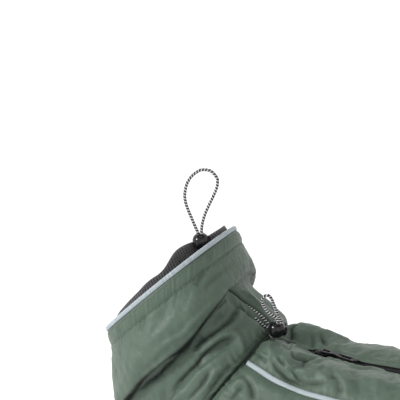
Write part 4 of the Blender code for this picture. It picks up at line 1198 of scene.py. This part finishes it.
def make_panel(name, node, patch, kind, side, seed, cloth):
    """A panel of the body: wrinkled, sewn along its four edges, and given its wall."""
    wrinkle = WRINKLES[kind]
    patch.height += wrinkle * crumple(patch.points, seed, 52.0) * edge_fade(patch)
    fine = 0.3 * wrinkle * crumple(patch.points, seed + 50, 19.0, 2)
    patch.height += fine * edge_fade(patch, 5.0)
    for sewing in SEWINGS[kind]:
        sew(patch, sewing._replace(seed=sewing.seed + side))
        THREAD_LINES.append(patch.line(sewing.edge, sewing.stitch_at, 0.1))
    piece = cloth_mesh(name, patch, WALL)
    corner = patch.points[0, 0]
    facing = np.cross(patch.points[1, 0] - corner, patch.points[0, 1] - corner)
    if patch.normals[0, 0] @ facing < 0:
        piece.data.flip_normals()
    finish_piece(piece, cloth, "coat", (node,))


def make_body(nylon_cloth):
    rows = body_rows(1.3, 3.4)
    spine = body_base(rows, 0 * rows)[:, 0]
    edge, low = body_column("piping_turn", rows), edge_turn("side_turn", rows)
    seam = degrees_of(GAP / 2, rows, edge)
    start = degrees_of(zip_half_opening(spine) + GAP / 2, rows, 0 * rows)
    spans = (
        ("back", "back_", start, edge - seam, 52),
        ("side", "side_panel_", edge + seam, low - degrees_of(GAP / 2, rows, low), 104),
    )
    patches = {}
    for word, side, seed in (("left", -1, 31), ("right", 1, 41)):
        for kind, node, first, last, columns in spans:
            patch = body_patch(rows, side * first, side * last, columns)
            patches[f"{kind}_{word}"] = patch
            make_panel(f"{kind}_cloth_{word}", node + word, patch, kind, side, seed, nylon_cloth)
            seed += 3
    rows = even_rows(body_surface, CHEST_LAST_ROW, 3.0, 180.0)
    edge = edge_turn("chest_turn", rows)
    start = edge + degrees_of(GAP / 2, rows, edge)
    patch = body_patch(rows, start, 360.0 - start, 116, body_column("chest_lift", rows), False)
    make_panel("chest_cloth", "chest_panel", patch, "chest", 0, 61, nylon_cloth)
    return patches


# ---------------------------------------------------------------- zip


def spine_row(x):
    """Row of the body where the spine line has a given x."""
    rows = np.linspace(0, len(SECTIONS) - 1, 2001)
    spine = body_base(rows, np.zeros(len(rows)))[:, 0]
    return np.interp(x, spine, rows)


def spine_point(row):
    return body_base(np.array([row]), np.array([0.0]))[0]


def spine_normal(row):
    return outward_normal(body_base, np.array([row]), np.array([0.0]))[0]


class Frame:
    """A place with three axes: side (the button or the width), up (the cord), and across."""

    def __init__(self, place, up, side):
        self.place = np.array(place, float)
        self.up = np.array(up, float) / np.linalg.norm(up)
        side = np.array(side, float)
        side = side - self.up * (side @ self.up)
        self.side = side / np.linalg.norm(side)
        self.across = np.cross(self.up, self.side)

    def point(self, side, across, up):
        return self.place + self.side * side + self.across * across + self.up * up

    def matrix(self):
        axes = Matrix([self.side, self.across, self.up]).transposed().to_4x4()
        return Matrix.Translation(Vector(self.place) * MM) @ axes


def slider_frame():
    row = spine_row(SLIDER_X)
    place = spine_point(row)
    return Frame(place, spine_normal(row), (1.0, 0.0, 0.0))


def hinge_height():
    return GAP + SLIDER_PLATE[2] + ARCH_WINDOW / 2


TOOTH_STEP, TAPE_STEP = 0.9, 1.5  # along the chain and along its tape


def make_zip(cloth, metal):
    """Tape with a woven edge, and the closed chain: two rows of teeth that meet in the middle."""
    start, end = spine_row(ZIP_FRONT - 2.0), spine_row(ZIP_REAR + 4.0)
    first, last = spine_row(ZIP_FRONT - ZIP_TAPE_END), spine_row(ZIP_REAR + ZIP_TAPE_END)
    rows = even_rows(body_base, last, TAPE_STEP, 0.0, first)
    half = ZIP_TAPE_HALF
    across = [-half, -half + 0.7, -half + 3, -8, -6, -4.6, -3.4, -2.7, -2.2, -1.5, -0.75, 0.0]
    across = np.array(across + [-a for a in across[-2::-1]])
    top = TAPE_WALL + np.where(np.abs(across) < 2.9, 0.55, 0.0)
    top += 0.12 * np.cos(across * 2.0) * (np.abs(across) > 3)
    top[[0, -1]] -= 0.35
    under = [(a, 0.0) for a in (half, half / 2, 0.0, -half / 2, -half)]
    section = np.array([*zip(across, top), *under])
    flat_section = np.minimum(section[:, 1], TAPE_WALL)
    turns = degrees_of(1.0, rows, 0 * rows)[:, None] * section[None, :, 0]
    base = -WALL - GAP - ZIP_TAPE_SLACK - TAPE_WALL
    shift = seam_direction() * GAP / 2
    rings = []
    for row, ring_turns in zip(rows, turns):
        at = np.full(len(ring_turns), row)
        height = base + (section[:, 1] if start < row < end else flat_section)
        rings.append(body_base(at, ring_turns) + spine_normal(row) * height[:, None] + shift)
    tape = sweep("zip_tape_cloth", np.array(rings))
    finish_piece(tape, cloth, "coat", ("zip_tape",))
    low, high = base + TAPE_WALL + 0.35, base + TAPE_WALL + ZIP_CHAIN_HEIGHT
    # A tooth's outline: how far across and up, and half its thickness there.
    outline = (
        (-0.35, low, 0.42), (-0.35, high - 0.35, 0.42), (0.1, high, 0.40), (1.3, high, 0.34),
        (2.35, high - 0.35, 0.30), (2.5, low, 0.30),
    )
    count = len(outline)
    points, faces = [], []
    for index, row in enumerate(even_rows(body_base, end, TOOTH_STEP, 0.0, start)[2:-2]):
        side = 1 if index % 2 else -1
        centre = spine_point(row) + shift
        normal = spine_normal(row)
        along = spine_point(row + 0.01) - spine_point(row - 0.01)
        along /= np.linalg.norm(along)
        wide = np.cross(normal, along) * side
        first = len(points)
        for sign in (-1, 1):
            points += [centre + wide * a + normal * h + along * sign * t for a, h, t in outline]
        faces.append([first + i for i in range(count)])
        faces.append([first + count + i for i in reversed(range(count))])
        faces += band(first, first + count, count)
    teeth = outward(new_mesh("zip_teeth", np.array(points), faces, smooth=False))
    bevel(teeth, 0.12, 1)
    finish_piece(teeth, metal, "coat", ())


def bevel(piece, width, segments=2, angle=35):
    """Rounds a piece's edges and keeps the result in its mesh."""
    change = piece.modifiers.new("bevel", "BEVEL")
    change.width, change.segments = width * MM, segments
    change.limit_method, change.angle_limit = "ANGLE", math.radians(angle)
    apply_modifiers(piece)


def apply_modifiers(piece):
    depsgraph = bpy.context.evaluated_depsgraph_get()
    made = bpy.data.meshes.new_from_object(piece.evaluated_get(depsgraph))
    piece.modifiers.clear()
    piece.data = made


def boolean(piece, other, operation):
    change = piece.modifiers.new(operation, "BOOLEAN")
    change.object, change.operation = other, operation
    apply_modifiers(piece)
    bpy.data.objects.remove(other)


def place(piece, matrix):
    """Moves a piece's mesh, so that the object stays at the origin."""
    piece.data.transform(matrix)
    piece.data.update()
    return piece


def prism(name, outline, low, high):
    """An outline (x, y) made solid from low to high in z."""
    count = len(outline)
    points = [(x, y, z) for z in (low, high) for x, y in outline]
    faces = [list(range(count)), list(range(count, 2 * count))]
    faces += band(0, count, count)
    return outward(new_mesh(name, points, faces, smooth=False))


def extruded(name, outline, half):
    """An outline (x, z) made solid from -half to half in y."""
    made = prism(name, [(x, -z) for x, z in outline], -half, half)
    return outward(place(made, Matrix.Rotation(math.radians(90), 4, "X")))


def shade(piece, angle=40):
    piece.data.shade_smooth()
    piece.data.set_sharp_from_angle(angle=math.radians(angle))
    return piece


def mirrored(half_outline):
    """A half outline (x, y) with its mirror image below the x axis."""
    return [*half_outline, *((x, -y) for x, y in reversed(half_outline))]


def make_slider(metal):
    """A plate with a rib, a stem down to the chain, and the arch that holds the pull."""
    length, width, thick = SLIDER_PLATE
    outline = mirrored([
        (-length / 2, 2.2), (-length / 2 + 1.6, width / 2 - 0.4), (-0.5, width / 2),
        (3.6, width / 2 - 0.9), (length / 2, 2.4),
    ])
    plate = prism("zip_slider_body", outline, GAP, GAP + thick * 0.72)
    foot = ZIP_CHAIN_HEIGHT - WALL - ZIP_TAPE_SLACK
    front, rear, side = -length / 2 + 0.6, length / 2 - 0.4, SLIDER_STEM_HALF - 0.2
    outline = [(front, -side), (rear, -side), (rear, side), (front, side)]
    boolean(plate, prism("stem", outline, foot, GAP + 1.0), "UNION")
    outline = rounded_box(length / 2 - 1.0, 1.9, 1.8, 5)
    boolean(plate, prism("rib", outline, GAP + 0.8, GAP + thick), "UNION")
    top = GAP + thick
    half, high = ARCH_LENGTH / 2, top + ARCH_WINDOW + ARCH_BAR
    arch = extruded("arch", [
        (-half, top - 1.0), (half, top - 1.0), (half, high - 1.7), (half - 0.5, high - 0.7),
        (half - 1.5, high), (1.5 - half, high), (0.5 - half, high - 0.7), (-half, high - 1.7),
    ], ARCH_WIDTH / 2)
    boolean(plate, arch, "UNION")
    inside, high = half - ARCH_BAR, top + ARCH_WINDOW
    window = extruded("window", [
        (-inside, top), (inside, top), (inside, high - 0.6), (inside - 0.6, high),
        (0.6 - inside, high), (-inside, high - 0.6),
    ], ARCH_WIDTH)
    boolean(plate, window, "DIFFERENCE")
    bevel(plate, 0.28, 3)
    place(shade(plate), slider_frame().matrix())
    finish_piece(plate, metal, "coat", ("zip_slider",))


# The pull from the arch to its tip: how far along, and half its width there.
PULL_SHAPE = (
    (-0.75, 2.3), (-0.45, 3.0), (0.4, 3.5), (6.6, 3.4), (8.6, 2.7), (10.4, 1.8), (12.2, 1.5),
    (14.0, 2.0), (16.2, 2.9), (22.0, 3.2), (30.0, 3.25), (33.2, 2.6), (34.5, 1.7),
    (PULL_LENGTH, 0.8),
)
PULL_SLOT_X = 24.0


def make_pull(metal):
    """A ring, a neck and a paddle with a slot, on the slider's arch."""
    frame = slider_frame()
    frame.place = frame.point(0, 0, hinge_height())
    half = PULL_THICKNESS / 2
    pull = prism("zip_pull_tab", mirrored(PULL_SHAPE), -half, half)
    ring = [(0.75, -1.6), (6.9, -1.6), (7.5, -1.0), (7.5, 1.0), (6.9, 1.6), (0.75, 1.6)]
    slot = [(x + PULL_SLOT_X, y) for x, y in rounded_box(5.0, 1.15, 1.1, 6)]
    dip = [(x + PULL_SLOT_X, y) for x, y in rounded_box(6.6, 2.3, 1.6, 6)]
    for name, outline, low in (("ring", ring, -3), ("slot", slot, -3), ("dip", dip, half - 0.22)):
        boolean(pull, prism(name, outline, low, 3), "DIFFERENCE")
    bevel(pull, 0.3, 3)
    place(shade(pull), frame.matrix())
    finish_piece(pull, metal, "pull_tab", ("zip_pull",))


def rounded_box(half_x, half_y, radius, steps=3):
    """Outline of a rectangle with round corners."""
    outline = []
    for corner, (sign_x, sign_y) in enumerate(((1, 1), (-1, 1), (-1, -1), (1, -1))):
        for step in range(steps + 1):
            angle = math.radians(90 * (corner + step / steps))
            x = sign_x * (half_x - radius) + radius * math.cos(angle)
            outline.append((x, sign_y * (half_y - radius) + radius * math.sin(angle)))
    return outline


def circle(radius, sides):
    turns = [2 * math.pi * (i + 0.5) / sides for i in range(sides)]
    return [(radius * math.cos(turn), radius * math.sin(turn)) for turn in turns]


# ---------------------------------------------------------------- drawcords and locks


LOCK_TOP = Frame((-116.6, -12.5, 91.9), (-0.15, 0.0, 0.989), (0.866, 0.5, 0.0))
LOCK_BASE = Frame((-39.0, -9.0, 20.0), (0.3, 0.0, 0.954), (0.866, 0.5, 0.0))
CORD_LIFT = CORD_DIAMETER / 2 + GAP + 0.4  # of a cord's line over the cloth it lies on

# Cord routes. Roots are in the part's frame, from the cloth to under the lock; the loop is in
# the lock's frame (side, across, up), from over the lock and back to it.
LOOP_TOP = (
    (-3.4, 0.3, 14.5), (-6, 0.9, 24.5), (-8.6, 1.6, 35), (-8.9, 2, 45), (-5.2, 2, 56),
    (1.4, 1.4, 63.5), (9.6, 0.6, 67.2), (17.2, -0.4, 65.6), (22, -1.2, 59), (21.2, -1.6, 50.4),
    (15.6, -1.5, 40), (8.6, -0.9, 28.5), (3.7, -0.3, 17.5),
)
ROOT_TOP_A = (
    (-99.3, -14.8, 79.9), (-103, -14.8, 75.8), (-108, -14.6, 73.2), (-113.2, -14.2, 74.8),
    (-116, -13.7, 78.6),
)
ROOT_TOP_B = (
    (-99, -10.4, 80.3), (-102.3, -10.4, 77), (-106.2, -10.5, 74.9), (-110.2, -10.8, 76),
    (-113, -11.2, 79.3),
)
LOOP_BASE = (
    (-3.6, 0.2, 11.4), (-8.8, 0.5, 13.8), (-14.4, 0.8, 17), (-19, 1, 21.8), (-21.6, 0.9, 26.8),
    (-21.2, 0.5, 31.2), (-18, 0.1, 33.6), (-14.4, -0.3, 31.6), (-10.4, -0.7, 26.2),
    (-5.8, -0.8, 19.4), (-1, -0.3, 12.6),
)
ROOT_BASE_A = ((6.6, -4.6), (7.1, -3.4), (7.6, -2.4), (8.1, -1.6), (8.5, -1.4))
ROOT_BASE_A_END = ((-45.8, -7.6, 12.2),)
ROOT_BASE_B = ((6.6, -1.8), (7.1, -0.6), (7.6, 0.4), (8.1, 1.0), (8.5, 1.2))
ROOT_BASE_B_END = ((-43.6, -3.6, 11.6),)


def on_collar(places):
    """Places on the collar's back, sunk in the slit at first and on the cloth at last."""
    row, turn = np.array(places).T
    lift = CORD_LIFT - np.linspace(5.5, 0.0, len(row))
    points = [collar_surface(*place) for place in zip(row, turn, lift)]
    return np.array(points) - seam_direction() * GAP / 2


def smooth_line(points):
    """Points on the smooth curve through a route's points, every one of which is kept."""
    points = np.array(points)
    at = []
    for index, span in enumerate(np.linalg.norm(np.diff(points, axis=0), axis=1)):
        count = max(1, round(span / CORD_POINT_STEP))
        at += [index + part / count for part in range(count)]
    return smooth_table(points, np.array(at + [len(points) - 1]))


def cord_route(lock, root_a, root_b, loop):
    """One line: out of the cloth, through the lock, round the loop, and back beside itself."""
    half = CORD_SPACING / 2
    inside = (-LOCK_LENGTH / 2 - 1.0, 0.0, LOCK_LENGTH / 2 + 1.0)
    there = [lock.point(-half, 0, up) for up in inside]
    back = [lock.point(half, 0, up) for up in reversed(inside)]
    middle = [lock.point(*place) for place in loop]
    return [*root_a, *there, *middle, *back, *reversed(root_b)]


def cord_tube(name, line, radius, sides=24, step=0.45):
    """A braided cord round a line of points: its strands cross and stand a little proud."""
    span = run_length(line)
    at = np.interp(np.linspace(0, span[-1], int(span[-1] / step)), span, np.arange(len(line)))
    centre = smooth_table(line, at)
    along = np.gradient(centre, axis=0)
    along = unit(along)
    side = np.cross(along[0], (0.3, 0.9, 0.2))
    frames = []
    for direction in along:
        side = side - direction * (side @ direction)
        side /= np.linalg.norm(side)
        frames.append((side, np.cross(direction, side)))
    length = run_length(centre)
    angle = np.arange(sides) * 2 * math.pi / sides
    one = np.sin(2 * math.pi * length[:, None] / BRAID_PITCH + BRAID_STRANDS * angle[None, :])
    two = np.sin(2 * math.pi * length[:, None] / BRAID_PITCH - BRAID_STRANDS * angle[None, :])
    reach = radius * (0.97 + 0.03 * one + 0.03 * two)
    cos, sin = np.cos(angle)[:, None], np.sin(angle)[:, None]
    rings = [
        c + cos * f[0] * r[:, None] + sin * f[1] * r[:, None]
        for c, f, r in zip(centre, frames, reach)
    ]
    return sweep(name, np.array(rings)), centre, span[-1]


def make_cords(cloth):
    root_a = [*on_collar(ROOT_BASE_A), *ROOT_BASE_A_END]
    root_b = [*on_collar(ROOT_BASE_B), *ROOT_BASE_B_END]
    for word, route in (
        ("top", cord_route(LOCK_TOP, ROOT_TOP_A, ROOT_TOP_B, LOOP_TOP)),
        ("base", cord_route(LOCK_BASE, root_a, root_b, LOOP_BASE)),
    ):
        line = smooth_line(route)
        cord, centre, length = cord_tube("drawcord_" + word, line, CORD_DIAMETER / 2)
        finish_piece(cord, cloth, "coat", ("cord_loop_" + word,))


def turned(name, profile, sides=48):
    """A solid turned round z from a profile (radius, z), with its ends on the axis."""
    angle = np.arange(sides) * 2 * math.pi / sides
    cos, sin = np.cos(angle), np.sin(angle)
    rings = [np.stack([r * cos, r * sin, np.full(sides, z)], 1) for r, z in profile[1:-1]]
    points = np.concatenate([[(0, 0, profile[0][1])], *rings, [(0, 0, profile[-1][1])]])
    faces = []
    for side in range(sides):
        beyond = (side + 1) % sides
        faces.append([0, 1 + beyond, 1 + side])
        for ring in range(len(rings) - 1):
            low, high = 1 + ring * sides, 1 + (ring + 1) * sides
            faces.append([low + side, low + beyond, high + beyond, high + side])
        top = 1 + (len(rings) - 1) * sides
        faces.append([top + side, top + beyond, len(points) - 1])
    return outward(new_mesh(name, points, faces))


def make_lock(word, frame, plastic, metal):
    """Ball lock with flats and a slot for two strands, and its spring button."""
    profile = [(0.0, -LOCK_LENGTH / 2)]
    for step in range(1, 24):
        angle = math.pi * (step / 24 - 0.5)
        radius = LOCK_RADIUS * min(math.cos(angle) ** 0.72, 0.985)
        profile.append((radius, LOCK_LENGTH / 2 * math.sin(angle)))
    profile.append((0.0, LOCK_LENGTH / 2))
    body = turned(f"lock_body_{word}", profile)
    half_x, half_y = LOCK_SLOT[0] / 2, LOCK_SLOT[1] / 2
    slot = prism("slot", rounded_box(half_x, half_y, half_y - 0.01, 8), -12, 12)
    boolean(body, slot, "DIFFERENCE")
    to_side = Matrix.Rotation(math.radians(90), 4, "Y")
    bore = place(prism("bore", circle(BUTTON_RADIUS + 0.25, 40), BUTTON_FOOT - GAP, 14), to_side)
    boolean(body, outward(bore), "DIFFERENCE")
    for sign in (-1, 1):
        flat = prism("flat", rounded_box(9, 6.2, 2.5, 5), 0.0, 4.0)
        move = Matrix.Translation((0, sign * LOCK_RADIUS * 0.93 * MM, 0))
        place(flat, move @ Matrix.Rotation(math.radians(-90 * sign), 4, "X"))
        boolean(body, outward(flat), "DIFFERENCE")
    bevel(body, 0.4, 3, 30)
    place(shade(body, 45), frame.matrix())
    finish_piece(body, plastic, "coat", ("cord_lock_" + word,))
    edge, top = BUTTON_RADIUS, BUTTON_TOP
    profile = (
        (0, BUTTON_FOOT), (edge, BUTTON_FOOT), (edge, top - 1.1), (edge - 0.15, top - 0.6),
        (edge - 0.55, top - 0.15), (edge - 1.1, top + 0.02), (edge - 1.5, top - 0.1),
        (edge - 2.2, top - 0.25), (0, top - 0.3),
    )
    button = turned(f"lock_button_{word}", profile, 40)
    place(shade(button, 40), frame.matrix() @ to_side)
    finish_piece(button, metal, "coat", ("cord_button_" + word,))


# ---------------------------------------------------------------- piping and stitches


def make_rim_piping(patch, cloth):
    """Folded tape round the rim, a little flat, with puckers from the gathers below it."""
    outer = patch.surface()[0]
    inner = outer - patch.normals[0] * WALL
    second = patch.points[3]
    up = patch.points[0] - second
    up = unit(up)
    across = patch.normals[0]
    across = across - up * (across * up).sum(-1, keepdims=True)
    across = unit(across)
    length = patch.around[0]
    wave = pucker(length, *RIM_PUCKER)
    middle = (outer + inner) / 2 + up * (GAP + 0.15 + RIM_PIPING_HEIGHT / 2)
    middle = middle + across * (0.25 * wave)[:, None]
    angle = (np.arange(20) + 0.5) * 2 * math.pi / 20
    wide = RIM_PIPING_WIDTH / 2 * (1 + 0.06 * wave)
    power = 0.8
    c, s = np.cos(angle), np.sin(angle)
    c, s = np.sign(c) * np.abs(c) ** power, np.sign(s) * np.abs(s) ** power
    rings = (
        middle[:, None]
        + across[:, None] * (wide[:, None] * c[None, :])[..., None]
        + up[:, None] * (s * RIM_PIPING_HEIGHT / 2)[None, :, None]
    )
    piping = sweep("rim_tape", rings, closed=True)
    finish_piece(piping, cloth, "coat", ("collar_piping",))


def make_side_piping(word, patches, cloth):
    """Flat cord-filled tape on the seam between back and side panel."""
    back, side = patches["back_" + word], patches["side_" + word]
    near, far = back.line("last", EDGE_COLUMN, GAP), side.line("first", EDGE_COLUMN, GAP)
    edge_a, edge_b = back.line("last", 0.0, GAP), side.line("first", 0.0, GAP)
    a, b = near[0], far[0]
    normal = edge_a[1] + edge_b[1]
    normal = unit(normal)
    middle = (edge_a[0] + edge_b[0]) / 2 + normal * 0.5
    length = run_length(middle)
    keep = length > 7.0
    a, b, middle, normal, length = a[keep], b[keep], middle[keep], normal[keep], length[keep]
    lift = PIPING_HEIGHT * (1 + 0.05 * pucker(length, 9.0, 2.0))
    rings = []
    for share in np.linspace(0, 1, 9):
        flat = a * (1 - share) ** 2 + b * share**2 + 2 * share * (1 - share) * middle
        shape = (1 - abs(2 * share - 1) ** 3.2) * 0.92 + 0.08
        rings.append(flat + normal * (lift * shape)[:, None])
    for share in (0.85, 0.5, 0.15):
        rings.append(a * (1 - share) ** 2 + b * share**2 + 2 * share * (1 - share) * middle)
    piping = sweep("side_tape_" + word, np.array(rings).transpose(1, 0, 2))
    finish_piece(piping, cloth, "coat", ("side_piping_" + word,))


# ---------------------------------------------------------------- camera, lights, floor

VIEW_AZIMUTH, VIEW_ELEVATION = 30.0, 22.5
VIEW_DISTANCE = 1.6
FOCAL_PIXELS, PHOTO_PIXELS = 1760.0, 400.0
# A point of the object and the pixel of the photo where it lies.
KNOWN_POINT, KNOWN_PIXEL = (-0.003, 0.0, 0.001), (316.0, 353.0)


def make_camera():
    azimuth, elevation = math.radians(VIEW_AZIMUTH), math.radians(VIEW_ELEVATION)
    right = Vector((math.cos(azimuth), math.sin(azimuth), 0))
    level = math.cos(elevation)
    back = Vector((math.sin(azimuth) * level, -math.cos(azimuth) * level, math.sin(elevation)))
    up = back.cross(right)
    per_pixel = VIEW_DISTANCE / FOCAL_PIXELS
    half = PHOTO_PIXELS / 2
    look = Vector(KNOWN_POINT) - right * (KNOWN_PIXEL[0] - half) * per_pixel
    look += up * (KNOWN_PIXEL[1] - half) * per_pixel
    data = bpy.data.cameras.new("camera")
    data.lens = FOCAL_PIXELS / PHOTO_PIXELS * data.sensor_width
    data.clip_start = 0.05
    camera = bpy.data.objects.new("camera", data)
    turned_to = Matrix([right, up, back]).transposed().to_4x4()
    camera.matrix_world = Matrix.Translation(look + back * VIEW_DISTANCE) @ turned_to
    bpy.context.scene.collection.objects.link(camera)
    bpy.context.scene.camera = camera


Light = namedtuple("Light", "name position size watts")
LIGHTS = (
    Light("key", (-1.05, -1.15, 0.85), 0.45, 22.5),
    Light("fill", (1.40, -1.20, 0.50), 1.00, 2.0),
    Light("top", (-0.20, -0.10, 1.60), 1.00, 3.0),
    Light("back", (-0.60, 1.40, 0.60), 0.90, 2.5),
)
LIT_POINT = Vector((-0.03, -0.02, -0.02))
WORLD_STRENGTH = 0.18


def make_lights():
    for light in LIGHTS:
        data = bpy.data.lights.new(light.name, "AREA")
        data.shape, data.size, data.energy = "DISK", light.size, light.watts
        lamp = bpy.data.objects.new(light.name, data)
        position = Vector(light.position)
        facing = (position - LIT_POINT).to_track_quat("Z", "Y").to_matrix().to_4x4()
        lamp.matrix_world = Matrix.Translation(position) @ facing
        bpy.context.scene.collection.objects.link(lamp)
    world = bpy.data.worlds.new("surroundings")
    world.use_nodes = True
    sky = world.node_tree.nodes["Background"].inputs
    sky["Color"].default_value, sky["Strength"].default_value = (1, 1, 1, 1), WORLD_STRENGTH
    bpy.context.scene.world = world
    bpy.context.scene.view_settings.view_transform = "Standard"


FLOOR_Z = -0.33
FLOOR_FLAT, FLOOR_BEND, WALL_TOP = 5.0, 4.0, 11.0  # level radius, the bend's, and the wall's top
BEND_STEPS, FLOOR_SIDES = 24, 96


def make_floor():
    """A wide near-white floor that curves up all round, far out."""
    profile = [(FLOOR_FLAT, FLOOR_Z)]
    for step in range(1, BEND_STEPS + 1):
        angle = math.radians(90 * step / BEND_STEPS)
        radius = FLOOR_FLAT + FLOOR_BEND * math.sin(angle)
        profile.append((radius, FLOOR_Z + FLOOR_BEND * (1 - math.cos(angle))))
    profile.append((FLOOR_FLAT + FLOOR_BEND, WALL_TOP))
    turns = np.arange(FLOOR_SIDES) * 2 * math.pi / FLOOR_SIDES
    points = [(0, 0, FLOOR_Z)]
    for radius, z in profile:
        points += [(radius * math.cos(a), radius * math.sin(a), z) for a in turns]
    faces = [[0, 1 + s, 1 + (s + 1) % FLOOR_SIDES] for s in range(FLOOR_SIDES)]
    for ring in range(len(profile) - 1):
        low = 1 + ring * FLOOR_SIDES
        faces += [face[::-1] for face in band(low, low + FLOOR_SIDES, FLOOR_SIDES)]
    floor = new_mesh("backdrop", np.array(points) / MM, faces)
    nodes = Nodes("backdrop", (0.3, 0.3, 0.3), 0.9)
    nodes.set("Emission Color", (1, 1, 1, 1))
    nodes.set("Emission Strength", 0.85)
    floor.data.materials.append(nodes.material)


# What a cloth piece was cut to, in metres, and its flat area where it isn't a rectangle; no piece
# is given one here.
Cut = namedtuple("Cut", "piece width length area held rests_on with_pieces")


def main():
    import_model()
    make_camera()
    make_lights()
    make_floor()
    green, charcoal, silver = nylon(), knit(), reflective()
    dark_cloth, cord_cloth, sewing_thread = tape_cloth(), braid(), thread()
    plastic = hard("lock_plastic", (0.005, 0.005, 0.006), 0.16, specular=0.35)
    metal = hard("black_metal", (0.004, 0.004, 0.005), 0.3, specular=0.12)
    make_cords(cord_cloth)
    make_lining(charcoal)
    collar = make_collar(green)
    make_rim_piping(collar, silver)
    patches = make_body(green)
    for word in ("left", "right"):
        make_side_piping(word, patches, silver)
    make_zip(dark_cloth, metal)
    make_slider(metal)
    make_pull(metal)
    make_lock("top", LOCK_TOP, plastic, metal)
    make_lock("base", LOCK_BASE, plastic, metal)
    sewn = stitches("topstitching", THREAD_LINES)
    finish_piece(sewn, sewing_thread, "coat", ())


main()
